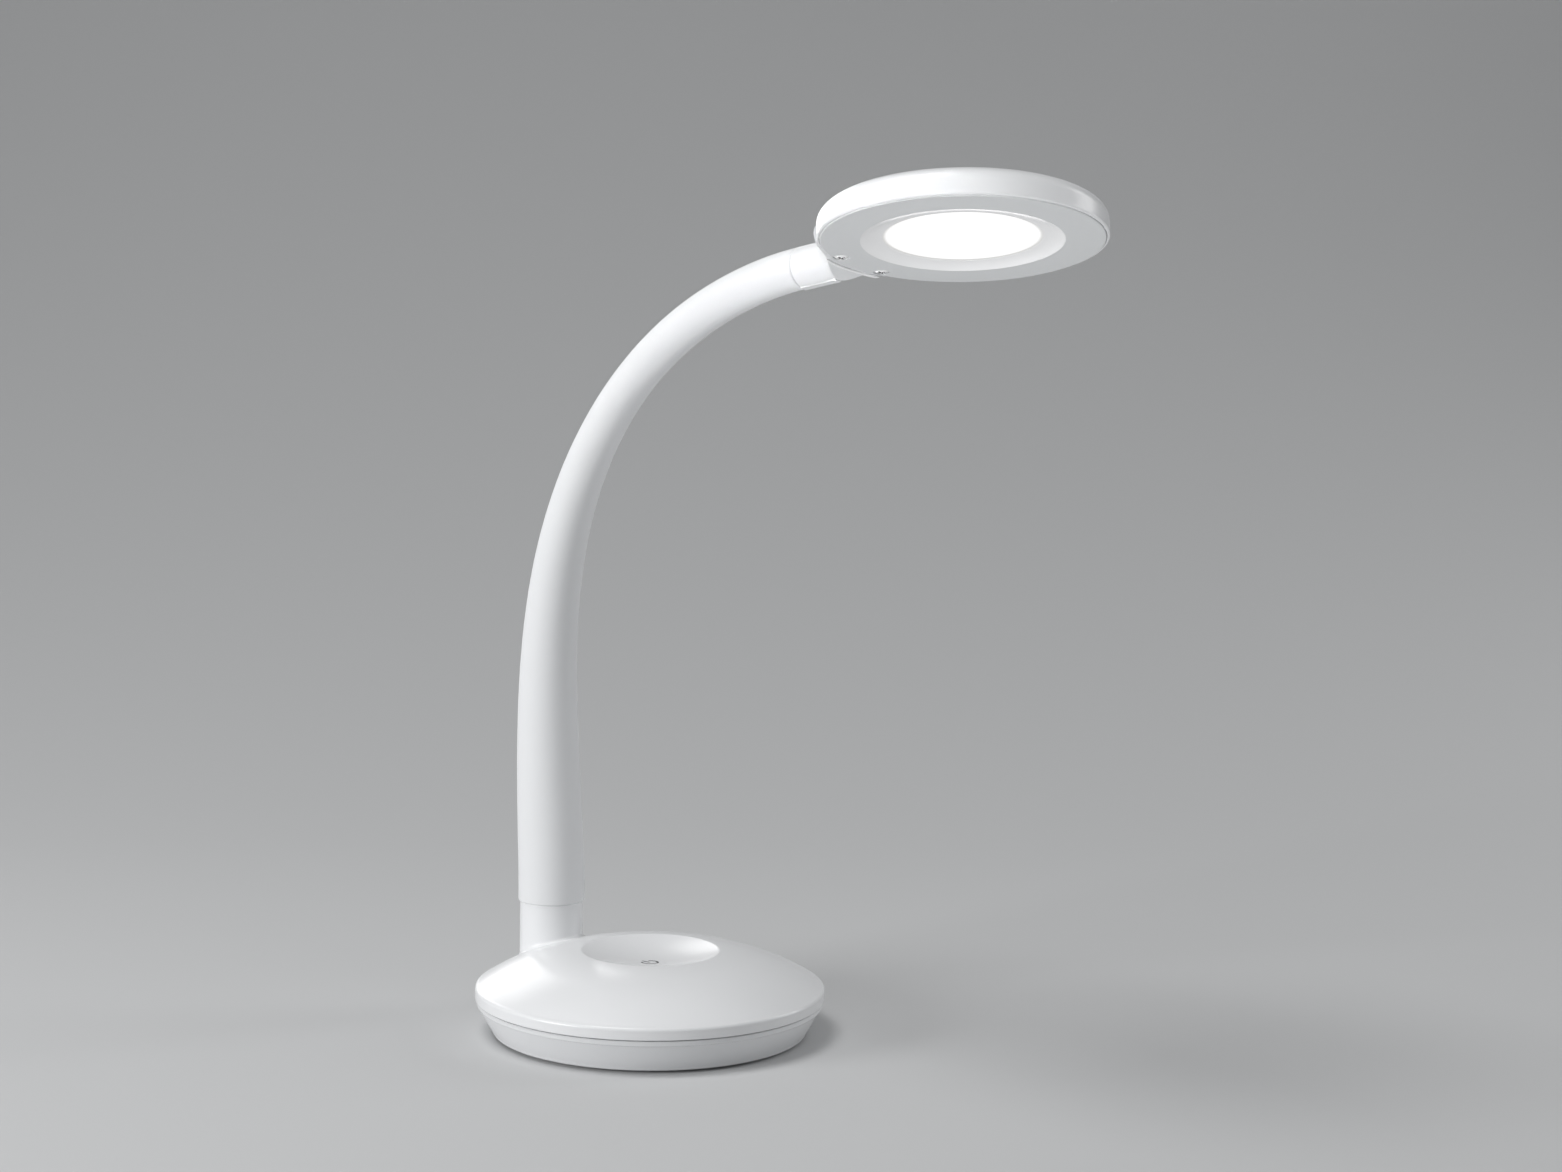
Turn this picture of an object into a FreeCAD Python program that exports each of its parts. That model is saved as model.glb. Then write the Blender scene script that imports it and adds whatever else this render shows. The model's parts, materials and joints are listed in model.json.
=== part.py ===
import FreeCAD, Part
import math
import os

# Gooseneck desk lamp: a weighted round base, a tapered flexible neck and a flat round light.
# Millimetres. The origin is the centre of the ring that the lamp stands on, +Z is up, +X runs
# from the neck's socket towards the light, and +Y is to the left.

V = FreeCAD.Vector
UP = V(0, 0, 1)
ALONG = V(1, 0, 0)

# Base: outside
BASE_R = 65.0               # widest radius, at the top cover's band
BAND_LOW = 13.8             # bottom of the band, where the joint groove starts
BAND_HIGH = 17.6            # top of the band, where the dome starts
DISH_R = 26.2               # rim of the touch dish
DISH_RIM_Z = 31.2
DISH_DEPTH = 4.0
DOME_BULGE = 2.4            # how far the dome stands out of its straight chord
FOOT_R = 58.7               # bottom of the tray
TRAY_Z = 1.0                # the tray is held this far off the table by its foot ring
LIP_R = 64.4                # light lip of the tray under the groove
LIP_LOW, LIP_HIGH = 11.4, 13.3

# Base: walls and inside
WALL = 2.2
SPIGOT_R = 62.4             # ring of the tray that centres the cover
FLOOR_Z = TRAY_Z + WALL
CEILING_Z = DISH_RIM_Z - DISH_DEPTH - 2.4
WEIGHT_R, WEIGHT_TOP = 50.0, 11.2
PILLAR_CIRCLE = 38.0        # the four screw pillars stand on this circle
PILLAR_R = 4.6
PILLAR_BORE_R = 1.7
SCREW_HEAD_SEAT, SCREW_HEAD_ROOM = 5.0, 3.4
BOSS_R, BOSS_HOLE_R, BOSS_TOP = 6.0, 1.5, 27.5      # bosses and posts end inside the cover's wall
POST_R, POST_HOLE_R, POST_TOP = 2.6, 1.0, 28.7
BOARD_HOLE_R = 1.2
RING_IN, RING_OUT = 46.0, 52.0
BOARD_SIZE = (44.0, 30.0, 1.6)
BOARD_Z = 17.0
POST_X, POST_Y = 18.0, 11.0
GLAND_Z = 7.4
GLAND_BORE = 2.1
GLAND_FACE = -62.9
GLAND_SEAT = -58.5
GLAND_NECK_R, GLAND_RIM_R, GLAND_FLANGE_R = 3.0, 3.8, 4.0
GLAND_BOSS_R = 5.8

# Neck socket on the base
SOCKET_X = -50.8
SOCKET_R = 12.0
SOCKET_TOP = 42.6
SOCKET_FOOT = 16.0
SOCKET_FILLET = 1.5
SOCKET_BORE_R = 9.8
SHELF_LOW, SHELF_HIGH = 25.0, 30.0
SPINDLE_R = 4.95            # threaded spindle of the lower ferrule

# Neck: the sleeve tapers from 12.6 to 7.4 mm in radius over its first 225 mm
SLEEVE_TOP_R = 7.4
SLEEVE_FLARE = 5.2
TAPER_LENGTH = 225.0
CONDUIT_R = 4.5
SLEEVE_SLIP = 0.05          # the sleeve is pulled over the conduit with this much room
WIRE_BORE_R = 2.6
PIVOTS = 12
FIRST_PIVOT = 20.0
PITCH = 24.0
LAST_STRETCH = 16.7
# Degrees that each stretch of the neck turns forward at rest: root, eleven links, tip
TURNS = (-3.2, 0.3, 1.8, 3.5, 5.9, 7.8, 8.9, 9.5, 10.0, 9.9, 9.3, 8.3, 6.5)
STRETCHES = [FIRST_PIVOT] + [PITCH] * (PIVOTS - 1) + [LAST_STRETCH]
NECK_LENGTH = sum(STRETCHES)
BALL_RATIO = 1.15           # radius of a link's ball over the sleeve's radius there
BALL_GAP = 0.3

# Head, in its own frame: origin at the middle of the light's flat underside, +X away from the
# neck, +Z up through the housing
HEAD_R = 49.0
HEAD_TOP = 11.8
RIM_SEAT_R = 48.1
RIM_LOW = 0.4
BEZEL_R = 47.9
BEZEL_T = 1.8
RECESS_R = 34.4
LENS_R = 26.9
LENS_RIM_R = 29.9           # edge of the lens, behind the face ring's inner lip
LENS_Z = 1.5
LENS_T = 1.5
COLLAR_AXIS_Z = 3.9
COLLAR_R = 7.5
COLLAR_END = -69.5          # where the sleeve ends
TAIL_START = -62.0          # where the round collar starts to widen into the housing
TWIST_GAP = 0.3
HEAD_ROLL = -13.0           # degrees that the head is turned about the neck's end, at rest
SCREW_X, SCREW_Y = -43.3, 11.0
FERRULE_R = 5.3
BUSH_CLEARANCE = 0.05
BUSH_R = 6.2
BUSH_END = -60.4
FERRULE_END = -57.0
CLIP_X = -59.4
RAMP_START, RAMP_END = -53.5, -50.2
STRIP_HALF = 1.6

PLATE_R = 40.0
PLATE_Z = 6.6
PLATE_T = 1.2
BOARD_R, BOARD_T = 30.5, 1.2
PLATE_SCREW_CIRCLE = 36.0
HEAD_BOSS_R, FACE_HOLE_R, PLATE_HOLE_R = 3.0, 1.25, 1.0
FACE_SCREW_R = 2.4
CHIP_RINGS = ((0.0, 1), (10.5, 7), (20.5, 15))
CHIP_SIZE = (3.5, 2.8, 0.7)


# Shapes

def cylinder(radius, low, high, x=0.0, y=0.0):
    """Upright cylinder from height low to high."""
    return Part.makeCylinder(radius, high - low, V(x, y, low), UP)


def rod(radius, start, end, y=0.0, z=0.0):
    """Cylinder along +X from start to end."""
    return Part.makeCylinder(radius, end - start, V(start, y, z), ALONG)


def tube(outer, inner, low, high, x=0.0, y=0.0):
    """Upright ring from height low to high."""
    return cylinder(outer, low, high, x, y).cut(cylinder(inner, low - 1, high + 1, x, y))


def rod_tube(outer, inner, start, end, z=0.0):
    """Ring along +X from start to end."""
    return rod(outer, start, end, 0, z).cut(rod(inner, start - 1, end + 1, 0, z))


def box(low, high):
    """Box between two corners."""
    size = V(*high) - V(*low)
    return Part.makeBox(size.x, size.y, size.z, V(*low))


def at(r, z):
    """Point of a profile, radius first."""
    return V(r, 0, z)


def cap(r, low, high):
    """Profile arc of a spherical cap: from the axis at height low to radius r at height high, or
    from radius r at height low to the axis at height high where r is negative. It gives the
    point half-way and the end, as a step of turned."""
    rise = abs(high - low)
    ball = (r * r + rise * rise) / (2 * rise)
    sag = ball - math.sqrt(ball * ball - r * r / 4)
    if r > 0:
        return at(r / 2, low + math.copysign(sag, high - low)), at(r, high)
    return at(-r / 2, high - math.copysign(sag, high - low)), at(0, high)


def turned(*path):
    """Solid of revolution about +Z. A step of the path is a point, or a pair for an arc: the
    point it passes and the point where it ends."""
    edges, here = [], path[0]
    for step in path[1:] + (path[0],):
        if isinstance(step, tuple):
            edges.append(Part.Arc(here, step[0], step[1]).toShape())
            here = step[1]
        elif step.distanceToPoint(here) > 1e-6:
            edges.append(Part.LineSegment(here, step).toShape())
            here = step
    return Part.Face(Part.Wire(edges)).revolve(V(0, 0, 0), UP, 360)


def around(count, radius, start=0.0):
    """Places evenly spaced on a circle."""
    angles = [math.radians(start) + 2 * math.pi * i / count for i in range(count)]
    return [(radius * math.cos(a), radius * math.sin(a)) for a in angles]


def joined(solids):
    """One node of separate solids."""
    return Part.makeCompound(solids)


def fused(solids):
    """One solid of several that meet."""
    return solids[0].multiFuse(solids[1:]).removeSplitter()


def pan_screw(x, y, head_low, head_r, head_t, shank_r, shank_top):
    """Screw that goes up from its head, with the head's edge taken off."""
    head = cylinder(head_r, head_low, head_low + head_t, x, y)
    rim = [e for e in head.Edges if abs(e.BoundBox.ZMax - head_low) < 1e-6 and e.isClosed()]
    head = head.makeChamfer(0.3 * head_t, rim)
    return head.fuse(cylinder(shank_r, head_low + head_t, shank_top, x, y))


def bent_wire(points, bend, radius):
    """Round wire along straight runs joined by arcs of one radius."""
    edges, here = [], points[0]
    for corner, after in zip(points[1:-1], points[2:]):
        into = (corner - here).normalize()
        out = (after - corner).normalize()
        half = into.getAngle(out) / 2
        reach = bend * math.tan(half)
        start, end = corner - into * reach, corner + out * reach
        middle = corner + (out - into).normalize() * (bend / math.cos(half) - bend)
        edges.append(Part.LineSegment(here, start).toShape())
        edges.append(Part.Arc(start, middle, end).toShape())
        here = end
    edges.append(Part.LineSegment(here, points[-1]).toShape())
    path = Part.Wire(edges)
    ring = Part.Wire([Part.makeCircle(radius, points[0], points[1] - points[0])])
    return path.makePipeShell([ring], True, False)


# Neck: centreline and taper

def neck_place(s):
    """Point and direction of the neck's centreline, s mm above its seam with the socket. The
    direction is an angle above +X in radians. Each stretch is an arc; it runs on straight past
    both ends."""
    x, z, angle = SOCKET_X, SOCKET_TOP, math.pi / 2
    if s <= 0:
        return V(x, 0, z + s), angle
    for length, turn in zip(STRETCHES, TURNS):
        step = min(s, length)
        half = -math.radians(turn) * step / length / 2
        chord = step * (math.sin(half) / half)
        x += chord * math.cos(angle + half)
        z += chord * math.sin(angle + half)
        angle += 2 * half
        s -= step
        if s <= 1e-9:
            break
    return V(x + s * math.cos(angle), 0, z + s * math.sin(angle)), angle


def pivot(k):
    """Distance of pivot k along the neck."""
    return FIRST_PIVOT + k * PITCH


def sleeve_r(s):
    """Sleeve radius: a squared cosine from the socket's end down to the slim upper part."""
    part = min(max(s / TAPER_LENGTH, 0), 1)
    return SLEEVE_TOP_R + SLEEVE_FLARE * math.cos(math.pi / 2 * part) ** 2


def ball_r(k):
    """Radius of the ball that ends the link above pivot k."""
    return BALL_RATIO * sleeve_r(pivot(k))


def on_neck(shape, s):
    """A shape built along +Z at the origin, moved to s on the centreline."""
    point, angle = neck_place(s)
    turn = FreeCAD.Rotation(V(0, 1, 0), 90 - math.degrees(angle))
    shape.Placement = FreeCAD.Placement(point, turn)
    return shape


def swept(start, end, radius):
    """Round solid along the neck, ruled between rings that are a third of a link apart. radius is
    a function of the place along it."""
    step = PITCH / 3
    stations = [FIRST_PIVOT + step * i for i in range(-4, 3 * PIVOTS + 4)]
    places = [start] + [s for s in stations if start + 1 < s < end - 1] + [end]
    rings = [on_neck(Part.Wire([Part.makeCircle(radius(s))]), s) for s in places]
    return Part.makeLoft(rings, True, True)


def ball(k, grown=0.0):
    """Ball round pivot k."""
    return Part.makeSphere(ball_r(k) + grown, neck_place(pivot(k))[0])


def outside_ball(k):
    """What lies below pivot k and outside its ball, which the link above leaves free."""
    deep = 3 * ball_r(k)
    block = on_neck(Part.makeCylinder(2 * ball_r(k), deep, V(0, 0, -deep), UP), pivot(k))
    return block.cut(ball(k))


def conduit_span(k):
    """Where the steel conduit of the link above pivot k starts and ends: inside its own ball,
    and clear of the next one."""
    start = pivot(k) - math.sqrt(ball_r(k) ** 2 - CONDUIT_R ** 2) + 0.1
    if k == PIVOTS - 1:
        return start, NECK_LENGTH + 6.4
    return start, pivot(k + 1) - ball_r(k + 1) - BALL_GAP


def conduit(start, end):
    """Length of the wound steel conduit with its bore for the wires."""
    outside = swept(start, end, lambda s: CONDUIT_R)
    return outside.cut(swept(start - 1, end + 1, lambda s: WIRE_BORE_R))


def sleeve(start, end):
    """Length of the silicone sleeve on the conduit, before its ends are cut to balls."""
    bore = swept(start - 1, end + 1, lambda s: CONDUIT_R + SLEEVE_SLIP)
    return swept(start, end, sleeve_r).cut(bore)


def neck_sleeves():
    """Sleeve of the root, which stays on the base, of each link, and of the tip."""
    nodes = {"neck_sleeve_root": sleeve(0, pivot(0)).cut(ball(0, BALL_GAP))}
    for k in range(PIVOTS - 1):
        length = sleeve(pivot(k) - ball_r(k), pivot(k + 1)).cut(outside_ball(k))
        nodes["neck_sleeve_%02d" % (k + 1)] = length.cut(ball(k + 1, BALL_GAP))
    last = PIVOTS - 1
    tip = sleeve(pivot(last) - ball_r(last), NECK_LENGTH).cut(outside_ball(last))
    seat = on_neck(Part.makeCylinder(FERRULE_R, 20, V(0, 0, 0), UP), NECK_LENGTH - 6)
    nodes["neck_sleeve_tip"] = tip.cut(seat)
    return nodes


def neck_conduits():
    """Conduit of the root, of each link and of the tip."""
    top = pivot(0) - ball_r(0) - BALL_GAP
    nodes = {"neck_conduit_root": conduit(-8, top)}
    for k in range(PIVOTS):
        name = "tip" if k == PIVOTS - 1 else "%02d" % (k + 1)
        nodes["neck_conduit_" + name] = conduit(*conduit_span(k))
    return nodes


# Base

def dome_profile():
    """Outside of the top cover: dish, soft rim, bulging dome, rounded edge and band."""
    crest, dome_start = at(DISH_R, DISH_RIM_Z), at(DISH_R + 1.2, DISH_RIM_Z - 0.15)
    dome_end = at(BASE_R - 1.1, BAND_HIGH + 0.75)
    chord = dome_end - dome_start
    out = V(-chord.z, 0, chord.x).normalize() * DOME_BULGE
    dome_mid = dome_start + chord * 0.5 + out
    low = DISH_RIM_Z - DISH_DEPTH
    return (at(0, BAND_LOW), at(0, low), cap(DISH_R - 1.0, low, DISH_RIM_Z - 0.35), (crest, dome_start),
            (dome_mid, dome_end), (at(BASE_R - 0.25, BAND_HIGH + 0.2), at(BASE_R, BAND_HIGH - 0.7)),
            at(BASE_R, BAND_LOW))


def cover_hollow():
    """Inside of the top cover, one wall under the outside, with a flat ceiling for the touch
    plate."""
    return turned(at(0, 0), at(0, CEILING_Z), at(10.5, CEILING_Z), at(25.5, 28.75), at(45.4, 24.75),
                  at(61.9, 16.9), at(62.8, 15.4), at(62.8, 0))


def top_cover():
    """Domed top cover with the touch dish and the neck's socket, moulded in one."""
    shell = turned(*dome_profile())
    socket = cylinder(SOCKET_R, SOCKET_FOOT, SOCKET_TOP, SOCKET_X)
    body = shell.fuse(socket)
    foot = [e for e in body.Edges if BAND_HIGH < e.BoundBox.ZMin and e.BoundBox.ZMax < 30
            and SOCKET_X - SOCKET_R - 0.1 < e.BoundBox.XMin and e.BoundBox.XMax < SOCKET_X + SOCKET_R + 0.1]
    body = body.makeFillet(SOCKET_FILLET, foot)
    mouth = [e for e in body.Edges if e.BoundBox.ZMin > SOCKET_TOP - 0.01]
    body = body.makeChamfer(0.3, mouth).cut(cover_hollow())
    shelf = cylinder(SOCKET_R, SOCKET_FOOT, SHELF_HIGH, SOCKET_X)
    bosses = [cylinder(BOSS_R, WEIGHT_TOP, BOSS_TOP, x, y) for x, y in pillar_places()]
    posts = [cylinder(POST_R, BOARD_Z + BOARD_SIZE[2], POST_TOP, x, y) for x, y in post_places()]
    body = fused([body, shelf] + bosses + posts)
    body = body.cut(cylinder(SOCKET_BORE_R, SHELF_HIGH, SOCKET_TOP + 1, SOCKET_X))
    body = body.cut(cylinder(SPINDLE_R + 0.15, 0, SHELF_HIGH + 1, SOCKET_X))
    body = body.cut(cylinder(SOCKET_BORE_R, 0, SHELF_LOW, SOCKET_X))
    for x, y in pillar_places():
        body = body.cut(cylinder(BOSS_HOLE_R, 0, 18.5, x, y))
    for x, y in post_places():
        body = body.cut(cylinder(POST_HOLE_R, 0, 24.0, x, y))
    return body


def pillar_places():
    """The four screws that hold tray, weight and cover together."""
    return around(4, PILLAR_CIRCLE, 45)


def post_places():
    """The four posts of the control board."""
    return [(x, y) for x in (-POST_X, POST_X) for y in (-POST_Y, POST_Y)]


def tray():
    """Tapered tray that closes the base, with its lip, pillars and the gland's boss."""
    body = turned(at(0, TRAY_Z), at(FOOT_R - 1.2, TRAY_Z), at(FOOT_R - 0.35, 1.3), at(FOOT_R, 2.1),
                  (at(61.3, 6.6), at(63.6, LIP_LOW - 0.3)), at(LIP_R, LIP_LOW), at(LIP_R, LIP_HIGH),
                  at(SPIGOT_R, LIP_HIGH), at(SPIGOT_R, 15.3), at(60.4, 15.3), at(60.4, LIP_LOW),
                  at(59.1, 7.0), at(56.7, FLOOR_Z), at(0, FLOOR_Z))
    pillars = [cylinder(PILLAR_R, TRAY_Z, WEIGHT_TOP, x, y) for x, y in pillar_places()]
    boss = rod(GLAND_BOSS_R, GLAND_FACE, GLAND_SEAT, 0, GLAND_Z)
    body = fused([body] + pillars + [boss])
    for x, y in pillar_places():
        body = body.cut(cylinder(SCREW_HEAD_ROOM, 0, SCREW_HEAD_SEAT, x, y))
        body = body.cut(cylinder(PILLAR_BORE_R, 0, WEIGHT_TOP + 1, x, y))
    body = body.cut(tube(RING_OUT + 0.2, RING_IN - 0.2, 0, TRAY_Z + 1.0))
    for radius, start, end in ((GLAND_RIM_R + 0.1, -70, GLAND_FACE), (GLAND_FLANGE_R + 0.1, GLAND_SEAT, -50),
                               (GLAND_NECK_R + 0.05, -70, -50)):
        body = body.cut(rod(radius, start, end, 0, GLAND_Z))
    return body


def weight():
    """Steel disc that keeps the lamp from tipping, cut back round the neck's nut."""
    disc = cylinder(WEIGHT_R, FLOOR_Z, WEIGHT_TOP)
    edges = [e for e in disc.Edges if e.isClosed()]
    disc = disc.makeChamfer(0.8, edges).cut(cylinder(18.0, 0, 20, SOCKET_X))
    for x, y in pillar_places():
        disc = disc.cut(cylinder(PILLAR_R + 0.4, 0, 20, x, y))
    return disc


def foot_ring():
    """Soft ring in the tray's groove, which the lamp stands on."""
    return tube(RING_OUT, RING_IN, 0, TRAY_Z + 1.0)


def tray_screws():
    """Four screws from below, through the tray's pillars into the cover's bosses."""
    head_t = 1.8
    low = SCREW_HEAD_SEAT - head_t
    return joined([pan_screw(x, y, low, 2.9, head_t, BOSS_HOLE_R - 0.05, 17.5) for x, y in pillar_places()])


def control_board():
    """Board of the touch switch and the light's driver."""
    length, width, thick = BOARD_SIZE
    board = box((-length / 2, -width / 2, BOARD_Z), (length / 2, width / 2, BOARD_Z + thick))
    corners = [e for e in board.Edges if abs(e.BoundBox.ZLength - thick) < 1e-6]
    board = board.makeFillet(2.0, corners)
    for x, y in post_places():
        board = board.cut(cylinder(BOARD_HOLE_R, 0, 40, x, y))
    return board


def board_screws():
    """Four small screws that hold the board to the cover's posts."""
    head_t, shank_r = 1.4, POST_HOLE_R - 0.05
    return joined([pan_screw(x, y, BOARD_Z - head_t, 2.0, head_t, shank_r, 23.0) for x, y in post_places()])


def driver_coil():
    """Wound choke of the driver, a drum under the board."""
    return turned(at(0, 12.4), at(3.9, 12.4), at(3.9, 13.2), at(3.0, 13.7), at(3.0, 15.9),
                  at(3.9, 16.3), at(3.9, BOARD_Z), at(0, BOARD_Z)).translated(V(8, -7, 0))


def driver_capacitor():
    """Smoothing capacitor, standing down from the board."""
    can = cylinder(3.15, 12.2, BOARD_Z, 8.0, 7.0)
    return can.makeChamfer(0.4, [e for e in can.Edges if e.BoundBox.ZMax < 12.3 and e.isClosed()])


def board_connector():
    """Two-way connector for the neck's wires, under the board."""
    body = box((-20.5, -3.6, 12.6), (-13.0, 3.6, BOARD_Z))
    return body.cut(box((-15.0, -2.8, 12.0), (-14.0, 2.8, 14.5)))


def lead_gland():
    """Rubber gland for the supply lead, in the back of the tray."""
    body = fused([rod(GLAND_RIM_R, GLAND_FACE - 1.3, GLAND_FACE, 0, GLAND_Z),
                  rod(GLAND_NECK_R, GLAND_FACE, GLAND_SEAT, 0, GLAND_Z),
                  rod(GLAND_FLANGE_R, GLAND_SEAT, GLAND_SEAT + 1.5, 0, GLAND_Z)])
    rims = [e for e in body.Edges if e.BoundBox.XMax < GLAND_FACE - 1.2]
    return body.makeChamfer(0.5, rims).cut(rod(GLAND_BORE, -70, -50, 0, GLAND_Z))


def lower_ferrule():
    """Steel end of the neck, with its flange on the socket's shelf and its spindle through it."""
    body = turned(at(0, 15), at(SPINDLE_R - 0.6, 15), at(SPINDLE_R, 15.6), at(SPINDLE_R, SHELF_HIGH),
                  at(9.6, SHELF_HIGH), at(9.6, 33.5), at(7.6, 34.5), at(7.6, SOCKET_TOP),
                  at(CONDUIT_R, SOCKET_TOP), at(CONDUIT_R, SOCKET_TOP - 8), at(WIRE_BORE_R, 33.5),
                  at(WIRE_BORE_R, 16), at(0, 16))
    bore = cylinder(WIRE_BORE_R, 10, 20)
    return body.cut(bore).translated(V(SOCKET_X, 0, 0))


def lock_washer():
    """Washer under the shelf."""
    return tube(9.3, SPINDLE_R + 0.1, SHELF_LOW - 1.0, SHELF_LOW, SOCKET_X)


def lock_nut():
    """Hexagon nut that pulls the neck down on the shelf."""
    low, high, flat_r = 18.0, SHELF_LOW - 1.0, 8.0
    corners = [V(x, y, low) for x, y in around(6, flat_r / math.cos(math.pi / 6), 30)]
    blank = Part.Face(Part.makePolygon(corners + corners[:1])).extrude(V(0, 0, high - low))
    round_off = turned(at(0, low), at(flat_r - 0.1, low), at(9.4, low + 0.9), at(9.4, high), at(0, high))
    nut = blank.common(round_off).translated(V(SOCKET_X, 0, 0))
    return nut.cut(cylinder(SPINDLE_R + 0.02, 0, 40, SOCKET_X))


def touch_plate():
    """Copper electrode on the ceiling under the dish."""
    return cylinder(9.0, CEILING_Z - 0.4, CEILING_Z)


def touch_foam():
    """Conductive foam column between the board and the electrode."""
    return cylinder(4.0, BOARD_Z + BOARD_SIZE[2], CEILING_Z - 0.4)


def base_wires():
    """Two insulated wires from the neck's end to the board's connector."""
    wires = []
    for y in (-1.0, 1.0):
        points = [V(SOCKET_X, y, 30), V(SOCKET_X, y, 13.8), V(-20.5, y, 13.8)]
        wires.append(bent_wire(points, 3.2, 0.6))
    return joined(wires)


# Head

def section(x, half_width, low, high):
    """Oval section of the collar's fairing at x."""
    centre = V(x, 0, (low + high) / 2)
    half_height = (high - low) / 2
    wide, tall = max(half_width, half_height), min(half_width, half_height)
    oval = Part.Ellipse(V(0, 0, 0), wide + 1e-4, tall).toShape()
    turn = FreeCAD.Rotation(V(0, 1, 0), V(0, 0, 1), ALONG)
    oval.Placement = FreeCAD.Placement(centre, turn)
    return Part.Wire([oval])


def fairing():
    """Round collar that widens like a fishtail into the housing."""
    low, high = COLLAR_AXIS_Z - COLLAR_R, COLLAR_AXIS_Z + COLLAR_R
    return Part.makeLoft([section(COLLAR_END + TWIST_GAP, COLLAR_R, low, high),
                          section(TAIL_START, COLLAR_R + 0.05, low, high),
                          section(-56.0, COLLAR_R + 0.75, low + 0.1, high - 0.1),
                          section(-50.0, COLLAR_R + 4.5, low + 0.5, high - 0.5),
                          section(-44.0, COLLAR_R + 13.0, low + 1.2, high - 1.1)], True, False)


def ramp():
    """Space under the flat ramp that leads from the collar's underside up to a round step at the
    face ring's edge."""
    low = COLLAR_AXIS_Z - COLLAR_R
    side = [V(RAMP_START, -30, low), V(RAMP_END, -30, 0), V(60, -30, 0), V(60, -30, -20),
            V(RAMP_START, -30, -20)]
    slope = Part.Face(Part.makePolygon(side + side[:1])).extrude(V(0, 60, 0))
    return slope.fuse(cylinder(-RAMP_END, -1, RIM_LOW))


def housing():
    """Head's top shell with its collar, hollow, with bosses for the screws."""
    disc = turned(at(0, RIM_LOW), at(RIM_SEAT_R + 0.4, RIM_LOW), (at(HEAD_R - 0.15, 0.6), at(HEAD_R, 1.3)),
                  at(HEAD_R, 5.8), (at(47.3, 9.6), at(42.5, 10.9)), cap(-42.5, 10.9, HEAD_TOP))
    body = disc.fuse(fairing()).cut(ramp())
    hollow = turned(at(0, 0), at(RIM_SEAT_R, 0), at(RIM_SEAT_R, BEZEL_T), at(46.9, BEZEL_T),
                    at(46.9, 6.0), at(45.3, 8.2), at(41.5, 9.0), at(0, 9.8))
    passage = rod(BUSH_R, BUSH_END, -44, 0, COLLAR_AXIS_Z)
    body = body.cut(hollow).cut(passage.common(box((-70, -9, BEZEL_T), (-40, 9, 20))))
    body = body.cut(rod(BUSH_R, -80, BUSH_END, 0, COLLAR_AXIS_Z))
    body = body.cut(rod(BUSH_R + 0.3, BUSH_END, CLIP_X + 1.3, 0, COLLAR_AXIS_Z))
    body = body.cut(rod(FERRULE_R + 0.3, CLIP_X, FERRULE_END + 0.3, 0, COLLAR_AXIS_Z))
    bosses = [cylinder(HEAD_BOSS_R, BEZEL_T, 9.4, SCREW_X, side * SCREW_Y) for side in (-1, 1)]
    bosses += [cylinder(HEAD_BOSS_R, PLATE_Z + PLATE_T, 10.2, x, y) for x, y in plate_places()]
    body = fused([body] + bosses)
    for side in (-1, 1):
        body = body.cut(cylinder(FACE_HOLE_R, 0, 8.2, SCREW_X, side * SCREW_Y))
    for x, y in plate_places():
        body = body.cut(cylinder(PLATE_HOLE_R, 0, 10.4, x, y))
    return body.cut(strip_slot())


def strip_slot():
    """Slot along the collar's underside, through which the wires are laid."""
    low = COLLAR_AXIS_Z - COLLAR_R
    return box((COLLAR_END, -STRIP_HALF, low - 1), (RAMP_START, STRIP_HALF, low + 1.25))


def collar_strip():
    """Narrow strip that closes the slot and stands a little proud of the collar."""
    low = COLLAR_AXIS_Z - COLLAR_R
    strip = box((COLLAR_END + TWIST_GAP, -STRIP_HALF, low - 0.3), (RAMP_START, STRIP_HALF, low + 1.25))
    edges = [e for e in strip.Edges if e.BoundBox.ZMax < low - 0.29 and e.BoundBox.XLength > 5]
    strip = strip.makeChamfer(0.3, edges)
    return strip.cut(rod(BUSH_R + 0.02, -80, BUSH_END, 0, COLLAR_AXIS_Z))


def plate_places():
    """The three screws of the heat plate."""
    return around(3, PLATE_SCREW_CIRCLE, 0)


def bezel():
    """Face ring: flat, with a gently flared recess round the lens and two screw seats."""
    ring = turned(at(LENS_R, LENS_Z), at(LENS_R, LENS_Z - 0.2), at(LENS_R + 0.35, LENS_Z - 0.45),
                  (at(30.8, 0.3), at(RECESS_R, 0)), at(BEZEL_R - 0.35, 0), at(BEZEL_R, 0.35),
                  at(BEZEL_R, BEZEL_T), at(30.2, BEZEL_T), at(30.2, LENS_Z))
    for angle in (0, 70, -70):
        tongue = box((44.6, -4.0, BEZEL_T), (46.2, 4.0, 5.0))
        tongue.rotate(V(0, 0, 0), UP, angle)
        ring = ring.fuse(tongue)
    for side in (-1, 1):
        ring = ring.cut(cylinder(FACE_SCREW_R + 0.4, -1, 1.0, SCREW_X, side * SCREW_Y))
        ring = ring.cut(cylinder(FACE_HOLE_R + 0.15, -1, 3, SCREW_X, side * SCREW_Y))
    return ring.removeSplitter()


def bezel_screws():
    """Two visible screws beside the collar."""
    low, head_t, shank_r = 0.1, 0.9, FACE_HOLE_R - 0.05
    return joined([pan_screw(SCREW_X, side * SCREW_Y, low, FACE_SCREW_R, head_t, shank_r, 7.5)
                   for side in (-1, 1)])


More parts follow.
